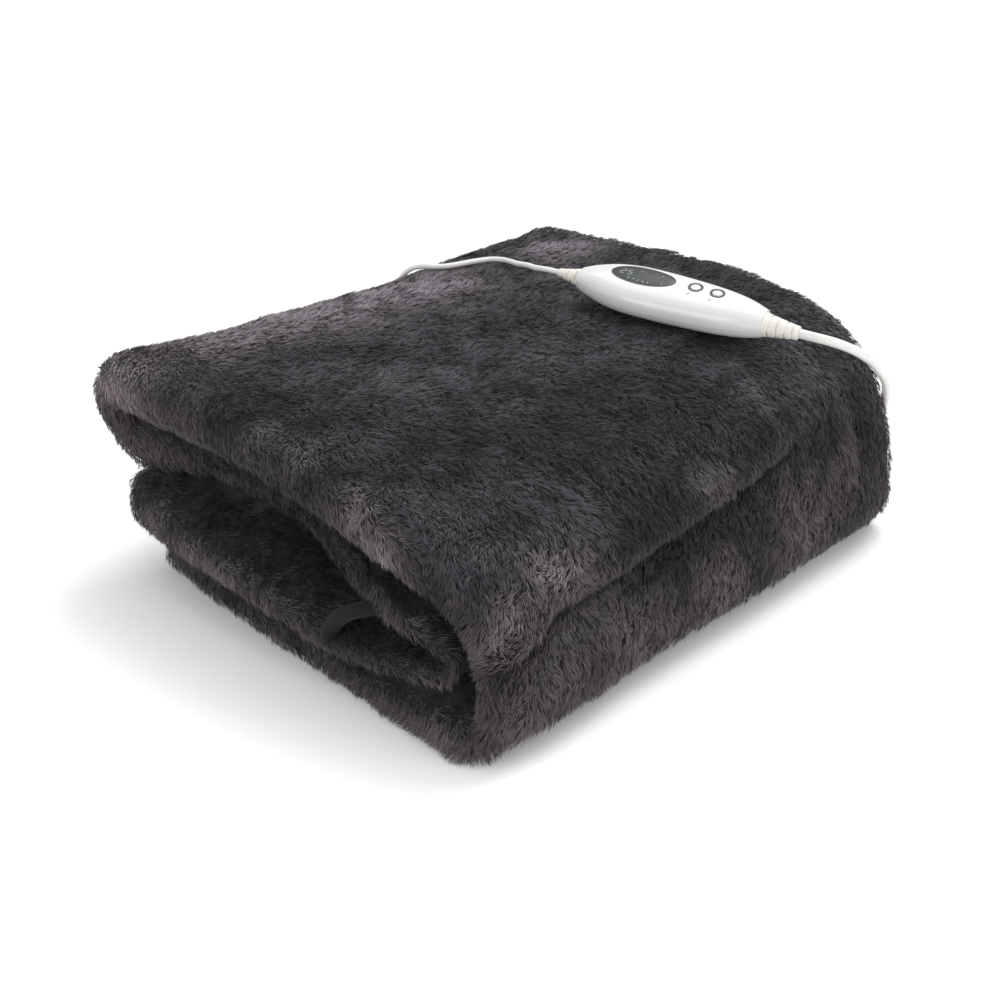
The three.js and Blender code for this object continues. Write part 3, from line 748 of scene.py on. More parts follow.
class Voxels:
    """A grid of cubes of one size that holds true or false in each."""

    def __init__(self, low, high, size):
        """All false, from the low corner to the high one."""
        self.low = np.array(low, float)
        self.size = size
        self.cells = np.zeros(np.ceil((np.array(high) - self.low) / size).astype(int) + 1, bool)

    def index(self, points):
        """Which cube holds each point, and whether the point is in the grid at all."""
        at = ((points - self.low) / self.size).astype(int)
        inside = np.all((at >= 0) & (at < self.cells.shape), axis=-1)
        return np.where(inside[..., None], at, 0), inside

    def fill(self, points):
        """Makes the cubes that hold a point true."""
        at, inside = self.index(points)
        at = at[inside]
        self.cells[at[:, 0], at[:, 1], at[:, 2]] = True

    def has(self, points):
        """Whether each point's cube is true."""
        at, inside = self.index(points)
        return inside & self.cells[at[..., 0], at[..., 1], at[..., 2]]


def triangles_of(quads):
    """The first halves of all quads, then the second ones."""
    return np.concatenate([quads[:, [0, 1, 2]], quads[:, [0, 2, 3]]])


def faces_of(points, triangles):
    """Each triangle's middle, and its normal, twice as long as the triangle is large: the cross
    product of two of its sides."""
    a, b, c = (points[triangles[:, k]] for k in range(3))
    return (a + b + c) / 3, np.cross(b - a, c - a)


def scatter(points, triangles, weight, count, rng):
    """Random places on triangles, where weight times area says how often: which triangle, and
    the place as shares of its corners."""
    area = np.linalg.norm(faces_of(points, triangles)[1], axis=1) / 2
    total = np.cumsum(area * weight)
    which = np.searchsorted(total, rng.random(count) * total[-1])
    which = np.clip(which, 0, len(triangles) - 1)
    root, second = np.sqrt(rng.random(count)), rng.random(count)
    shares = np.stack([1 - root, root * (1 - second), root * second], axis=1)
    return which, shares


def blend_corners(values, triangles, which, shares):
    """Values at places on triangles: the sum of the corners' values times their shares."""
    return np.einsum("ij,ijk->ik", shares, values[triangles[which]])


def vertex_normals(points, triangles):
    """The sum of each point's face normals, each as long as its face is large."""
    face = faces_of(points, triangles)[1]
    total = np.zeros_like(points)
    for k in range(3):
        for axis in range(3):
            total[:, axis] += np.bincount(triangles[:, k], face[:, axis], len(points))
    return unit(total)


def openness(points, triangles, rng):
    """How far a triangle faces open air: the share of 26 directions, each weighted by its cosine
    to the normal, along which no cloth and no floor lies within OPEN_REACH."""
    grid = Voxels(points.min(0) - VOXEL_MARGIN, points.max(0) + VOXEL_MARGIN, VOXEL)
    which, shares = scatter(points, triangles, 1.0, CLOTH_SAMPLES, rng)
    grid.fill(blend_corners(points, triangles, which, shares))
    centre, normal = faces_of(points, triangles)
    normal = unit(normal)
    centre = centre + normal * OPEN_START
    free = np.zeros(len(triangles))
    whole = np.zeros(len(triangles))
    for way in SPHERE:
        cosine = np.maximum(normal @ way, 0)
        clear = cosine > GRAZING
        at = centre[clear]
        open_air = np.ones(len(at), bool)
        for step in np.arange(0, OPEN_REACH, VOXEL):
            place = at + way * step
            open_air &= ~grid.has(place) & (place[:, 2] > 0.5)
        free[clear] += cosine[clear] * open_air
        whole += cosine
    return free / whole


rng = np.random.default_rng(SAMPLES_SEED)
cloth_triangles = triangles_of(cloth_quads)
cloth_normals = vertex_normals(cloth_points, cloth_triangles)
open_share = openness(cloth_points, cloth_triangles, rng)

# ---- the handset's shape ----
HANDSET_AT = np.array([58, 99.5, 159.8])
HANDSET_TURN = (0.27, 0.085, 0.24)  # radians about X, then Y, then Z
SQUARENESS = 2.5  # of a section, as the power in |y/half|^n + |z/height|^n = 1
# From end to end: x, half width, and height over and under the parting line.
HANDSET_SECTIONS = np.array([
    (-66.5, 8.2, 6.6, 5.8), (-61, 11.2, 8.4, 6.9), (-53, 14.6, 10.4, 8.2), (-43, 18.4, 12.0, 9.2),
    (-27.5, 21.4, 13.1, 9.9), (-9, 21.8, 13.3, 10), (11, 20.8, 13.3, 10), (31, 19.2, 12.8, 9.9),
    (46, 16.6, 12.0, 9.6), (56, 13.8, 10.8, 9.0), (62, 11.4, 9.6, 8.2), (66.5, 9.8, 8.4, 7.4),
])


def turn_matrix(rx, ry, rz):
    """Turns about X, then Y, then Z."""
    cx, sx, cy, sy, cz, sz = (f(a) for a in (rx, ry, rz) for f in (math.cos, math.sin))
    about_x = np.array([(1, 0, 0), (0, cx, -sx), (0, sx, cx)])
    about_y = np.array([(cy, 0, sy), (0, 1, 0), (-sy, 0, cy)])
    about_z = np.array([(cz, -sz, 0), (sz, cz, 0), (0, 0, 1)])
    return about_z @ about_y @ about_x


HANDSET_MATRIX = turn_matrix(*HANDSET_TURN)


def from_handset(points):
    """Points of the handset's own frame, turned and moved to where it lies."""
    return points @ HANDSET_MATRIX.T + HANDSET_AT


def to_handset(points):
    """Points in the handset's own frame: from_handset the other way."""
    return (points - HANDSET_AT) @ HANDSET_MATRIX


# ---- pile ----
BLADES = 428000
PIECE_BLADES = 98000  # the most that one piece holds
BLADE_LENGTH = 6.5
BLADE_WIDTH = 0.5
CLUMP = 3.4  # distance between tufts
CLUMP_SEED = 31
BEHIND_SHARE = 0.8  # strands on the left and the back, for each one elsewhere
# Noise over the pile: lattice size and seed of each.
GROUND, WIDE_SWIRL, NARROW_SWIRL, UNEVEN, WAVE = (9, 6), (36, 1), (11, 2), (26, 3), (8, 5)
# A strand's turn from the brushed way, in radians: from wide and narrow noise, from its tuft and
# by chance. WAVE_CHANCE is its turn by chance from its middle on.
WIDE_TURN, NARROW_TURN, TUFT_TURN, TURN_CHANCE, WAVE_CHANCE = 0.42, 0.75, 0.5, 0.14, 0.2
# A strand's lift from the cloth, in degrees: for all, and from a side, uneven ground, its tuft,
# chance and the curly corner.
LIFT, SIDE_LIFT, UNEVEN_LIFT, TUFT_LIFT, LIFT_CHANCE, CURLY_LIFT = 22, 3, 6, 8, 6, 8
ROOT_LIFT, TIP_LIFT = 1.25, 0.55  # a strand's first and second halves, as shares of its lift
ROLL = 0.5  # a strand's turn about itself by chance, in radians
# The ways the pile is brushed: on top, then down the sides.
ON_TOP = np.array([0.78, 0.62, 0.0])
ON_SHOULDER = np.array([1.0, -0.1, 0.0])
ON_LEFT_RIM = np.array([0.5, 0.8, 0.0])
ON_NEAR_RIM = np.array([0.85, -0.42, -0.2])
DOWN_NEAR = np.array([0.42, -0.1, -0.85])
DOWN_LEFT = np.array([-0.1, 0.55, -0.8])
DOWN_BACK = np.array([0.3, 0.1, -0.95])
DOWN_CORNER = np.array([-0.35, -0.1, -0.9])
DOWN_RIGHT = np.array([0.0, -0.5, -0.85])


def nap(points, normals):
    """The way the pile is brushed, before it is laid on the surface: ON_TOP, changing over each
    edge of the top to that edge's way, so that it runs over the edge without a parting, and a way
    down for each side and for the corner between the right side and the near one."""
    x, y = points[:, :1], points[:, 1:2]
    nx, ny, nz = (normals[:, k:k + 1] for k in range(3))
    left = ramp(-x, 95, 165)
    over = lerp(ON_TOP, ON_SHOULDER, ramp(x - 0.25 * y, 0, 110))
    over = lerp(over, ON_LEFT_RIM, left)
    over = lerp(over, ON_NEAR_RIM, ramp(-y, 105, 200) * (1 - 0.55 * left))
    at_left, at_back = ramp(-nx, 0.25, 0.8), ramp(ny, 0.25, 0.8)
    side = DOWN_NEAR * (1 - at_left - at_back).clip(0, 1)
    side = side + DOWN_LEFT * at_left + DOWN_BACK * at_back
    side = lerp(side, DOWN_CORNER, ramp(x, 120, 175) * ramp(-ny, 0.2, 0.7))
    side = lerp(side, DOWN_RIGHT, ramp(nx, 0.25, 0.8))
    return lerp(side, over, ramp(nz, 0.1, 0.85))


def turned(vectors, axes, angle):
    """Vectors square to their axes, turned about them."""
    return vectors * np.cos(angle)[:, None] + np.cross(axes, vectors) * np.sin(angle)[:, None]


def clump_centres(points):
    """For each point, the nearest of the tufts' middles: one in each cell of a cubic lattice,
    moved at random inside it; and a random number that belongs to the tuft."""
    jitter = np.random.default_rng(CLUMP_SEED).random((32, 32, 32, 4)).astype(np.float32)
    cell = np.floor(points / CLUMP).astype(np.int32)
    best = np.full(len(points), 1e9)
    centre = np.zeros_like(points)
    own = np.zeros(len(points))
    for offset in np.ndindex(3, 3, 3):
        there = cell + np.array(offset) - 1
        i, j, k = (there & 31).T
        values = jitter[i, j, k]
        middle_of = (there + values[:, :3]) * CLUMP
        away = np.sum((middle_of - points) ** 2, axis=1)
        closer = away < best
        best[closer] = away[closer]
        centre[closer] = middle_of[closer]
        own[closer] = values[closer, 3]
    return centre, own


# The bound edge that shows in the fold: its way, and half its thickness and half its width.
BINDING_ROUTE = [
    (60, -199, 25), (60.5, -205.5, 34), (66, -206, 45), (76, -205, 54), (87, -201.5, 60),
    (97, -195, 63), (104, -187, 63),
]
BINDING_HALF = (5.6, 4.4)
CLEAR_BOX = (-200, -20, 0), (200, 240, 180)
CLEAR_VOXEL = 2.0
BINDING_CLEAR = 4.0  # radius kept clear round the bound edge
CORD_RISE = (0, 0, 0.6)  # the space kept clear for a cord lies this much higher than it


def kept_clear():
    """The space of the handset, its boots, the cords and the bound edge, where no strand shows."""
    grid = Voxels(*CLEAR_BOX, CLEAR_VOXEL)
    x, across, up = np.meshgrid(
        np.arange(-84, 90, 1.0), np.linspace(-1, 1, 45), np.linspace(-1, 1, 21), indexing="ij")
    x, across, up = (values.reshape(-1) for values in (x, across, up))
    half, top, bottom = (
        np.interp(x, HANDSET_SECTIONS[:, 0], HANDSET_SECTIONS[:, k]) for k in (1, 2, 3))
    body = np.abs(across) ** SQUARENESS + np.abs(up) ** SQUARENESS <= 1
    height = np.where(up > 0, up * top, up * np.maximum(bottom - 3, 1))
    grid.fill(from_handset(np.stack([x, across * half, height], axis=1)[body]))
    offsets = np.array(list(np.ndindex(3, 3, 3)), float) - 1
    around = [(lead_path, LEAD_DIAMETER / 2), (mains_path, MAINS_DIAMETER / 2),
              (smooth_route(BINDING_ROUTE), BINDING_CLEAR)]
    for path, radius in around:
        dense = path[:, None] + offsets[None] * radius * 0.9
        grid.fill((dense + CORD_RISE).reshape(-1, 3))
    return grid


def where_to_grow():
    """How often a strand grows on each triangle: less where less air reaches, none where hardly
    any does and none on the underside, which lies on the floor."""
    centre, face = faces_of(cloth_points, cloth_triangles)
    face = unit(face)
    weight = np.clip(open_share, 0, 1) ** 0.6
    hidden = (open_share < 0.05) | ((face[:, 2] < -0.5) & (centre[:, 2] < 12))
    weight = np.where(hidden, 0, weight)
    behind = (face[:, 0] < -0.5) | (face[:, 1] > 0.5)
    return np.where(behind, weight * BEHIND_SHARE, weight)


def grow_pile():
    """Strands as bent blades of two triangles: root, two points at the middle, and tip. A strand
    leaves the cloth at its lift from the brushed direction and lies down towards its tip, which
    also draws in to its tuft's middle. One that meets the handset or a cord lies flat, or goes."""
    which, shares = scatter(cloth_points, cloth_triangles, where_to_grow(), BLADES, rng)
    root = blend_corners(cloth_points, cloth_triangles, which, shares)
    normal = unit(blend_corners(cloth_normals, cloth_triangles, which, shares))
    air = open_share[which]
    depth = seam_height(root) + 0.9 * lattice_noise(root, *GROUND)
    root = root + normal * depth[:, None]
    centres, own = clump_centres(root)

    flat = unit(squared(nap(root, normal), normal))
    curly = ramp(root[:, 0], 40, 110) * ramp(-root[:, 1], 160, 195) * ramp(-root[:, 2], -110, -75)
    swirl = (WIDE_TURN + curly) * lattice_noise(root, *WIDE_SWIRL)
    swirl = swirl + NARROW_TURN * lattice_noise(root, *NARROW_SWIRL)
    swirl += (own - 0.5) * TUFT_TURN + rng.normal(0, TURN_CHANCE, BLADES)
    flat = turned(flat, normal, swirl)
    uneven = lattice_noise(root, *UNEVEN)
    upright = 1 - ramp(normal[:, 2], 0.3, 0.9)
    lift = np.radians(LIFT + SIDE_LIFT * upright + UNEVEN_LIFT * uneven + TUFT_LIFT * (own - 0.5)
                      + rng.normal(0, LIFT_CHANCE, BLADES))
    lift += np.radians(CURLY_LIFT) * curly
    own_length = 0.82 + 0.3 * rng.random(BLADES)
    tuft_length = 0.9 + 0.3 * own
    air_length = 0.75 + 0.25 * np.clip(air * 1.6, 0, 1)
    reach = BLADE_LENGTH * own_length * tuft_length
    reach *= air_length * (1 + 0.2 * curly)

    def way(angle):
        return flat * np.cos(angle)[:, None] + normal * np.sin(angle)[:, None]

    wave = lattice_noise(root, *WAVE) + rng.normal(0, WAVE_CHANCE, BLADES)
    first = way(lift * ROOT_LIFT)
    flat = turned(flat, normal, wave)
    second = way(lift * TIP_LIFT)
    draw = squared(centres - root, normal)
    pull = (0.12 + 0.4 * rng.random(BLADES))[:, None]
    mid = root + first * (reach * 0.5)[:, None] + draw * pull * 0.45
    tip = mid + second * (reach * 0.55)[:, None] + draw * pull * 0.55

    clear = kept_clear()
    blocked = (clear.has(mid) | clear.has(tip))[:, None]
    low = way(np.full(BLADES, 0.1))
    mid = np.where(blocked, root + low * (reach * 0.3)[:, None] + normal * 1.0, mid)
    tip = np.where(blocked, root + low * (reach * 0.55)[:, None] + normal * 1.2, tip)
    keep = ~(clear.has(mid) | clear.has(tip) | clear.has(root))
    mid[:, 2] = np.maximum(mid[:, 2], 0.6)
    tip[:, 2] = np.maximum(tip[:, 2], 0.4)

    # painted highlight in the curly corner, and painted shade and highlight that follow the seam's
    # groove and lips and the ground's dips and bumps
    tint = np.clip(tint_of(root, own, air) + 0.04 * curly + 0.028 * depth, *TINT_RANGE)
    strands = {"root": root, "mid": mid, "tip": tip, "normal": normal, "tint": tint}
    return {name: values[keep] for name, values in strands.items()}


# Painted sheen and painted shade: places where the pile's tint is raised, as a painted highlight,
# or below 0 lowered, as painted shade. Columns: x, y and z of the middle, radius, amount.
SHEEN_AND_SHADE_PATCHES = [
    # painted highlight along the top's left edge
    (-145, -200, 145, 28, 0.45), (-150, -170, 148, 34, 0.5), (-137, -178, 152, 32, 0.4),
    (-140, -137, 150, 38, 0.7), (-130, -95, 150, 38, 0.65), (-120, -50, 150, 36, 0.55),
    (-122, 10, 150, 36, 0.6), (-107, 50, 150, 28, 0.4), (-98, 145, 155, 26, 0.5),
    (-86, 168, 157, 20, 0.4),
    # painted highlights on tufts along the top's near edge
    (0, -200, 143, 11, 0.3), (37, -200, 138, 12, 0.22), (84, -204, 120, 13, 0.35),
    (103, -206, 106, 13, 0.45), (113, -200, 90, 12, 0.25), (118, -190, 68, 12, 0.2),
    (140, -205, 40, 16, 0.2), (150, -200, 20, 18, 0.2),
    # painted highlights on the patches at the near corner
    (166, -146, 97, 13, 0.36), (172, -134, 89, 11, 0.5), (170, -120, 93, 9, 0.3),
    (174, -176, 80, 11, 0.32), (178, -190, 70, 10, 0.28),
    # the lower passes' lit edges
    (-109, -201, 58, 14, 0.25), (-64, -210, 49, 14, 0.25), (-30, -211, 34, 14, 0.28),
    (0, -207, 22, 14, 0.28), (35, -207, 22, 12, 0.28), (-33, -195, 54, 22, 0.16),
    (3, -198, 48, 20, 0.18),
    # painted light on the right side, lower down
    (185, -150, 34, 24, 0.12), (185, -83, 30, 30, 0.16), (185, -7, 32, 30, 0.16),
    (185, 80, 37, 28, 0.16), (184, -110, 50, 14, 0.15), (182, 68, 65, 14, 0.15),
    (182, 132, 64, 18, 0.1), (183, -180, 19, 18, 0.12),
    # painted highlights on ridges of the top
    (118, 88, 137, 9, 0.22), (138, 77, 129, 10, 0.2), (154, 74, 120, 9, 0.18),
    (168, -12, 100, 12, 0.3), (168, 9, 100, 10, 0.2), (70, 53, 143, 12, 0.1),
    # painted shade in hollows
    (130, -20, 125, 55, -0.05), (150, -60, 115, 42, -0.06), (100, -120, 130, 40, -0.04),
    (20, -150, 60, 60, -0.10), (-60, -150, 72, 50, -0.10), (185, -40, 85, 45, -0.08),
    (120, -80, 128, 40, -0.06), (140, 60, 120, 40, -0.05), (186, 30, 60, 40, -0.05),
    (140, -206, 66, 26, -0.12), (186, -90, 58, 34, -0.05), (150, -206, 100, 22, -0.06),
    (100, -55, 132, 45, -0.06), (7, -56, 146, 45, -0.05), (-20, -189, 149, 26, -0.12),
    (144, 20, 122, 40, -0.05), (170, -68, 95, 40, -0.04), (166, 74, 106, 26, -0.08),
]
PATCH_GAIN = 1.25
TINT_RANGE = (0.01, 0.99)
MEAN_TINT = 0.125
WIDE_TINT, NARROW_TINT = (38, 21), (14, 22)  # lattice size and seed of its noise
TINT_CHANCE = 0.025
# painted shade: with less open air a strand's tint is cut, down to a tenth
AIR_SHADE = (0.12, 0.5)  # shares of open air between which the tint comes in


def tint_of(root, own, air):
    """How far a strand is lightened: random tone, its tuft's share and its own; painted sheen and
    painted shade from the patches; painted shade in a crease and where little open air reaches.
    A patch of painted sheen takes strands unevenly, so that it shows as streaks."""
    wide, narrow = lattice_noise(root, *WIDE_TINT), lattice_noise(root, *NARROW_TINT)
    tint = MEAN_TINT + 0.08 * wide + 0.09 * narrow
    tint += 0.06 * (own - 0.5) + rng.normal(0, TINT_CHANCE, len(root))
    # painted shade in the creases' valleys
    tint += 0.016 * np.minimum(crease_height(root), 0)
    # the patches' painted sheen, and their painted shade where the amount is below 0
    brushed = np.zeros(len(root))
    for x, y, z, radius, amount in SHEEN_AND_SHADE_PATCHES:
        away = np.sum((root - (x, y, z)) ** 2, axis=1)
        brushed += PATCH_GAIN * amount * np.exp(-away / radius**2)
    # painted sheen is laid on in streaks, painted shade evenly
    streak = 0.55 + 0.5 * own + 0.4 * rng.random(len(root))
    tint += np.where(brushed > 0, brushed * streak, brushed)
    # painted shade where little open air reaches
    tint *= 0.1 + 0.9 * ramp(air, *AIR_SHADE)
    return np.clip(tint, *TINT_RANGE)


ROUND_SHARE, CLOTH_SHARE = 0.75, 0.35  # of a strand's own round, and of the cloth, in its normals


def pile_piece(name, blades, material):
    """Joined blades. Each point's normal is the surface's, squared to the strand there and
    turned about it by the strand's own angle, as on a round strand."""
    root, mid, tip, normal, tint = (blades[key] for key in ("root", "mid", "tip", "normal", "tint"))
    count = len(root)
    chord = unit(tip - root)
    roll = rng.normal(0, ROLL, count)
    across = turned(unit(np.cross(chord, normal)), chord, roll)
    half = BLADE_WIDTH / 2 * (0.7 + 0.6 * rng.random(count))[:, None]
    points = np.stack([root, mid + across * half, tip, mid - across * half], axis=1)
    corner = np.arange(count)[:, None] * 4
    faces = np.concatenate([corner + (0, 1, 3), corner + (1, 2, 3)])
    u = np.stack([tint, tint + 0.002, tint, tint - 0.002], axis=1)
    v = np.broadcast_to(np.array([0.0, 0.5, 1.0, 0.5]), (count, 4))
    uv = np.stack([u, v], axis=-1).reshape(-1, 2)
    piece = mesh_piece(name, points.reshape(-1, 3), [faces], material,
                       uv={"Blade": uv, "OFBake": uv})
    shading = []
    for heading in (mid - root, tip - root, tip - mid):
        heading = unit(heading)
        up = unit(squared(normal, heading))
        side = np.cross(heading, up)
        facing = up * np.cos(roll)[:, None] + side * np.sin(roll)[:, None]
        shading.append(unit(facing * ROUND_SHARE + normal * CLOTH_SHARE))
    low, centre, high = shading
    normals = np.stack([low, centre, high, centre], axis=1).reshape(-1, 3)
    piece.data.normals_split_custom_set_from_vertices(normals.astype(np.float32))
    return piece


blades = grow_pile()
# painted light: strands that face up take the cooler copy, and the more they face aside, the
# likelier the warmer one
warm_light_share = 1 - ramp(blades["normal"][:, 2], 0.1, 0.75)
warm_lit = rng.random(len(warm_light_share)) < warm_light_share
for label, chosen, material in (("side", warm_lit, WARM_LIT_PILE), ("top", ~warm_lit, COOL_LIT_PILE)):
    index = rng.permutation(np.flatnonzero(chosen))
    for number, part in enumerate(np.array_split(index, -(-len(index) // PIECE_BLADES))):
        picked = {key: values[part] for key, values in blades.items()}
        pile_piece(f"pile_{label}_{number + 1}", picked, material)


# ---- the bound edge ----
def binding_surface():
    """A flat band with rounded edges, carried along its route; its wide way is square to the
    route and to the way out of the fold."""
    path = smooth_route(BINDING_ROUTE, spacing=0.8)
    heading = unit(np.gradient(path, axis=0))
    out_of_fold = np.array([0.0, -1.0, 0.25])
    thick = unit(np.cross(heading, np.cross(out_of_fold, heading)))
    wide = np.cross(heading, thick)
    angle = circle(24)
    thickness = signed_power(np.cos(angle), 0.7)[None, :, None] * BINDING_HALF[0]
    width = signed_power(np.sin(angle), 0.9)[None, :, None] * BINDING_HALF[1]
    return fanned(path, path[:, None] + wide[:, None] * width + thick[:, None] * thickness)


binding_points, binding_faces = binding_surface()
binding = mesh_piece("bound_edge", binding_points, binding_faces, BINDING, sharp=70)
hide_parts("binding_loop")

# ---- handset ----
SHAPE = cubic(HANDSET_SECTIONS, np.linspace(0, len(HANDSET_SECTIONS) - 1, 110))
PARTING = 0.14  # half the gap between the two shells
LOWER_SHARE = 0.965  # width of the lower shell over the upper one's
WINDOW = (-20.5, 1.6, 23.0, 10.2)  # x, y, half length, half width
BUTTONS = {"button_1": (16.6, 2.8), "button_2": (32.0, 2.8)}
WELL_HALF, RING_HALF, DOME_HALF = 4.9, 4.7, 3.5  # radii of a button's well, ring and dome
ROUND = 72  # points round an ellipse
BEAD_SIDES = 12
SHELL_EDGE = 38  # degrees from which an edge of a shell is sharp
CAP_RINGS = (0.12, 0.3, 0.5, 0.68, 0.82, 0.91, 0.96, 0.99, 1.0, 1.0)  # shares of a cap's radius
CAP_SUNK = (0, 0, 0, 0, 0, 0.02, 0.08, 0.2, 0.45)  # how far each ring but the last lies lower
MARK_LIFT = 0.24
MARK_DEPTH = 0.3
# The window's figures as lit bars (see digit), then its small marks: x, y, half length, half
# width and turn in degrees.
LIT_2, LIT_5 = (1, 1, 0, 1, 1, 0, 1), (1, 0, 1, 1, 0, 1, 1)
SMALL_MARKS = [
    (-25, -4.6, 0.9, 0.3, 20), (-21.5, -5.2, 0.3, 0.9, 0), (-18, -5.4, 0.9, 0.3, -20),
    (-14.5, -5.2, 0.3, 0.9, 0), (-29, -4.2, 0.3, 0.8, 0), (-23, 5.6, 0.5, 0.4, 0),
    (-8, 5.4, 0.5, 0.4, 0), (-5, -3.4, 0.5, 0.4, 0),
]
BOOT_ROWS, BOOT_SIDES = 100, 48
GROOVE, CUT = 0.45, 1.3  # depth of a boot's grooves all round, and how much more at the cuts


def shell_height(x, y):
    """Height of the upper shell over the parting line: top (1 - |y/half|^n)^(1/n)."""
    half, top = (np.interp(x, SHAPE[:, 0], SHAPE[:, k]) for k in (1, 2))
    return top * (1 - np.clip(np.abs(y) / half, 0, 1) ** SQUARENESS) ** (1 / SQUARENESS)


def half_shell(name, height, width, lip, material):
    """Rounded half sections from end to end, closed along the parting line and at both ends."""
    angle = np.linspace(0, np.pi, 45)
    y = signed_power(np.cos(angle), 2 / SQUARENESS)
    z = np.abs(np.sin(angle)) ** (2 / SQUARENESS)
    points = np.stack(np.broadcast_arrays(
        SHAPE[:, :1], SHAPE[:, 1:2] * y * width, lip + height[:, None] * z), axis=-1)
    faces = drum_faces(len(SHAPE), len(angle))
    return mesh_piece(name, from_handset(points.reshape(-1, 3)), faces, material, sharp=SHELL_EDGE)


def ellipse(place, angle, share=1.0, more=0.0):
    """x and y round an ellipse whose half sizes are times share, and longer by more."""
    x, y, half_length, half_width = place
    return (x + (half_length * share + more) * np.cos(angle),
            y + (half_width * share + more) * np.sin(angle))


def prism(place, clearance, low, high):
    """An upright elliptical cutter, larger than its place by the clearance."""
    ring = np.stack(ellipse(place, circle(ROUND), more=clearance), axis=1)
    points = np.concatenate([np.c_[ring, np.full(ROUND, level)] for level in (low, high)])
    return mesh_piece("cutter", from_handset(points), drum_faces(2, ROUND), SHELL, sharp=SHELL_EDGE)


def cut(piece, cutters):
    """Takes the cutters' space out of a piece, and removes them."""
    for cutter in cutters:
        change = piece.modifiers.new("cut", "BOOLEAN")
        change.operation = "DIFFERENCE"
        change.solver = "EXACT"
        change.object = cutter
    bpy.context.view_layer.update()
    shaped = piece.evaluated_get(bpy.context.evaluated_depsgraph_get())
    shape = bpy.data.meshes.new_from_object(shaped)
    piece.modifiers.clear()
    piece.data = shape
    shape.set_sharp_from_angle(angle=math.radians(SHELL_EDGE))
    for cutter in cutters:
        bpy.data.objects.remove(cutter)


def cap(name, place, stands, dome, drop, material, body="root"):
    """A disc over an ellipse that follows the shell, raised by stands and by dome in its middle;
    its rim is rounded and its side goes down by drop."""
    share = np.array(CAP_RINGS)[:, None]
    sunk = np.array([*CAP_SUNK, drop])[:, None]
    x, y = ellipse(place, circle(ROUND), share=share)
    z = shell_height(x, y) + stands + dome * (1 - share**2) - sunk
    rings = np.stack([x, y, z], axis=-1).reshape(-1, 3)
    top = [*place[:2], float(shell_height(*place[:2])) + stands + dome]
    points = np.concatenate([rings, [top]])
    k = np.arange(ROUND)
    fan = np.stack([k, (k + 1) % ROUND, np.full(ROUND, len(rings))], axis=1)
    faces = [grid_faces(len(share), ROUND), fan, (k + ROUND * (len(share) - 1))[None]]
    return mesh_piece(name, from_handset(points), faces, material, body=body, sharp=50)


def rim(name, place, wide, tall, raised, material):
    """A round bead along an ellipse on the shell."""
    along_it, around = circle(ROUND)[:, None], circle(BEAD_SIDES)
    x, y = ellipse(place, along_it, more=wide * np.cos(around))
    base = shell_height(*ellipse(place, along_it))
    points = np.stack([x, y, base + raised + tall * np.sin(around)], axis=-1).reshape(-1, 3)
    faces = [grid_faces(ROUND, BEAD_SIDES, close_rows=True)]
    return mesh_piece(name, from_handset(points), faces, material, sharp=80)


def strokes(name, bars, material):
    """Thin bars lying on the shell's outline: x, y, half length, half width and turn."""
    points, faces = [], []
    for number, (x, y, length, width, degrees) in enumerate(bars):
        turn = math.radians(degrees)
        ahead = np.array([math.cos(turn), math.sin(turn)]) * length
        aside = np.array([-math.sin(turn), math.cos(turn)]) * width
        ring = np.array([ahead + aside, aside - ahead, -ahead - aside, ahead - aside]) + (x, y)
        height = shell_height(ring[:, 0], ring[:, 1])
        for level in (MARK_LIFT, MARK_LIFT - MARK_DEPTH):
            points.append(np.c_[ring, height + level])
        faces.append(np.array([(0, 1, 2, 3), (7, 6, 5, 4), (0, 4, 5, 1), (1, 5, 6, 2),
                               (2, 6, 7, 3), (3, 7, 4, 0)]) + number * 8)
    points = np.concatenate(points)
    return mesh_piece(name, from_handset(points), [np.concatenate(faces)], material, sharp=30)


def digit(x, y, segments):
    """Bars of a seven-segment figure: top, upper right, lower right, bottom, lower left, upper
    left, middle."""
    seats = [(0, 2.6, 0), (1.5, 1.3, 90), (1.5, -1.3, 90), (0, -2.6, 0), (-1.5, -1.3, 90),
             (-1.5, 1.3, 90), (0, 0, 0)]
    return [(x + a, y + b, 1.05, 0.26, turn) for lit, (a, b, turn) in zip(segments, seats) if lit]


def boot(name, side, leaves, wide, slim, slots):
    """A rubber sleeve from the shell's end to where the cord leaves: rings that narrow towards
    the cord, with a groove at each place in slots, cut deeper on two sides that alternate."""
    start = np.array([side * 66.0, 0, 0])
    end = to_handset(np.array(leaves, float))
    reach = abs(end[0] - start[0])
    control = start + (side * reach * 0.5, 0, 0)
    t = np.linspace(0, 1, BOOT_ROWS)[:, None]
    path = (1 - t) ** 2 * start + 2 * t * (1 - t) * control + t**2 * end
    heading = unit(np.gradient(path, axis=0))
    across = unit(np.cross(heading, (0.0, 0.0, 1.0)))
    up = np.cross(across, heading)
    angle = circle(BOOT_SIDES)
    radius = np.broadcast_to(wide + (slim - wide) * t**0.85, (BOOT_ROWS, BOOT_SIDES)).copy()
    for number, at in enumerate(slots):
        dip = np.exp(-(((t - at) * reach / 0.62) ** 4))
        deep = ramp(np.cos(2 * angle + number * np.pi + 0.5 * np.pi), -0.1, 0.5)
        radius -= dip * (GROOVE + CUT * deep) * (radius / wide)
    radius *= 1 - 0.12 * ramp(t, 0.97, 1.0)
    points = path[:, None] + across[:, None] * (np.cos(angle) * radius)[..., None]
    points = points + up[:, None] * (np.sin(angle) * radius * 0.86)[..., None]
    faces = drum_faces(BOOT_ROWS, BOOT_SIDES)
    piece = mesh_piece(name, from_handset(points.reshape(-1, 3)), faces, RUBBER, sharp=50)
    return piece


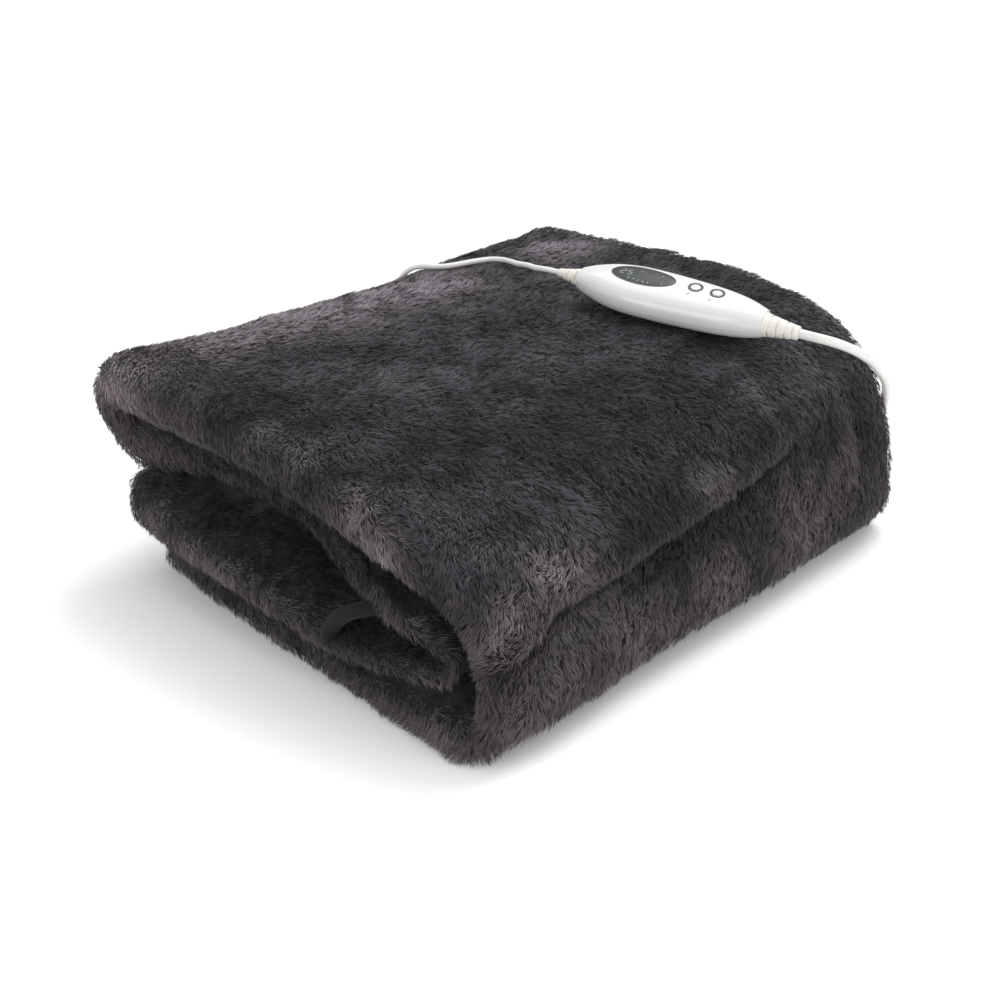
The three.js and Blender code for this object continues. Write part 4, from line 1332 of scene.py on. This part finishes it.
top_shell = half_shell("shell_top", SHAPE[:, 2], 1.0, PARTING, SHELL)
wells = [prism((*at, WELL_HALF, WELL_HALF), 0, 7.5, 20) for at in BUTTONS.values()]
cut(top_shell, [prism(WINDOW, 0.3, 9, 20), *wells])
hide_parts("handset_upper")
bottom_shell = half_shell("shell_bottom", -SHAPE[:, 3], LOWER_SHARE, -PARTING, LOWER_SHELL)
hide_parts("handset_lower")
window = cap("window", WINDOW, 0.15, 0.0, 3.6, GLASS)
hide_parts("display_window")
rim("window_rim", WINDOW, 0.42, 0.3, 0.12, RING)
figures = digit(-35.5, 2.2, LIT_2) + digit(-30.5, 2.2, LIT_5)
strokes("window_marks", figures + SMALL_MARKS, MARK)
strokes("button_marks", [(x - 1.6, y - 8.6, 1.4, 0.36, 75) for x, y in BUTTONS.values()], INK)
for number, (node_name, at) in enumerate(BUTTONS.items(), 1):
    ring = rim(f"ring_{number}", (*at, RING_HALF, RING_HALF), 0.62, 0.5, 0.2, RING)
    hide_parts(f"button_ring_{number}")
    dome = cap(f"dome_{number}", (*at, DOME_HALF, DOME_HALF), 0.45, 0.5, 3.4, CAP,
               body=bpy.data.objects[node_name]["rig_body"])
    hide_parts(node_name)
near_boot = boot("boot_at_lead", -1, LEAD_ROUTE[0], 7.6, 3.0, (0.16, 0.36, 0.56, 0.76))
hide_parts("boot_blanket_lead")
far_boot = boot("boot_at_mains", 1, MAINS_ROUTE[0], 9.2, 4.9, (0.2, 0.42, 0.64, 0.84))
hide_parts("boot_mains_lead")

NODE_LOOKS = {"plug_body": SHEATH, "plug_pin_1": METAL, "plug_pin_2": METAL}
for name, look in NODE_LOOKS.items():
    piece = bpy.data.objects[name]
    piece.data.materials.clear()
    piece.data.materials.append(look)


# ---- floor and light ----
FLOOR_HALF = 6000
FLOOR_WHITE = (0.95, 0.95, 0.95, 1)
SURROUND = 0.78  # strength of the white light from all round
SUN_POWER, SUN_WIDTH, SUN_WAY = 1.5, 38, (0.1, -0.62, -0.78)  # its width in degrees
# The soft lights: place and aim in metres, size, power in watts and colour.
SOFT_LIGHTS = {
    "key": ((-0.5, 0.6, 1.9), (0, 0, 0.1), (1.6, 1.6), 13, (0.97, 0.98, 1.0)),
    "right_fill": ((1.6, 0.2, 0.9), (0, 0, 0.08), (1.2, 1.0), 9, (1, 1, 1)),
    "near_fill": ((0.2, -1.7, 0.8), (0, 0, 0.08), (1.4, 0.9), 9, (1, 1, 1)),
}


def hang_light(data, at, way):
    """Places a light at a point, shining that way."""
    light = bpy.data.objects.new(data.name, data)
    light.location = at
    light.rotation_euler = Vector(way).to_track_quat("-Z", "Y").to_euler()
    bpy.context.collection.objects.link(light)


def add_stage():
    """A large pale floor, a bright even surround, a wide sun and three soft lights."""
    corners = np.array([(-1, -1, 0), (1, -1, 0), (1, 1, 0), (-1, 1, 0)]) * FLOOR_HALF
    material, _ = new_material("floor_white", Base_Color=FLOOR_WHITE, Roughness=0.8,
                               Specular_IOR_Level=0.1)
    floor = mesh_piece("floor", corners, [np.array([[0, 1, 2, 3]])], material)
    del floor["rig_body"]
    world = bpy.data.worlds.new("surround")
    world.use_nodes = True
    back = world.node_tree.nodes["Background"]
    back.inputs["Color"].default_value = (1, 1, 1, 1)
    back.inputs["Strength"].default_value = SURROUND
    bpy.context.scene.world = world
    sun = bpy.data.lights.new("sun", "SUN")
    sun.energy = SUN_POWER
    sun.angle = math.radians(SUN_WIDTH)
    hang_light(sun, (0, 0, 0), SUN_WAY)
    for name, (at, aim, size, power, colour) in SOFT_LIGHTS.items():
        soft = bpy.data.lights.new(name, "AREA")
        soft.shape = "RECTANGLE"
        soft.size, soft.size_y = size
        soft.energy = power
        soft.color = colour
        hang_light(soft, at, Vector(aim) - Vector(at))
    bpy.context.scene.view_settings.view_transform = "Standard"


add_stage()
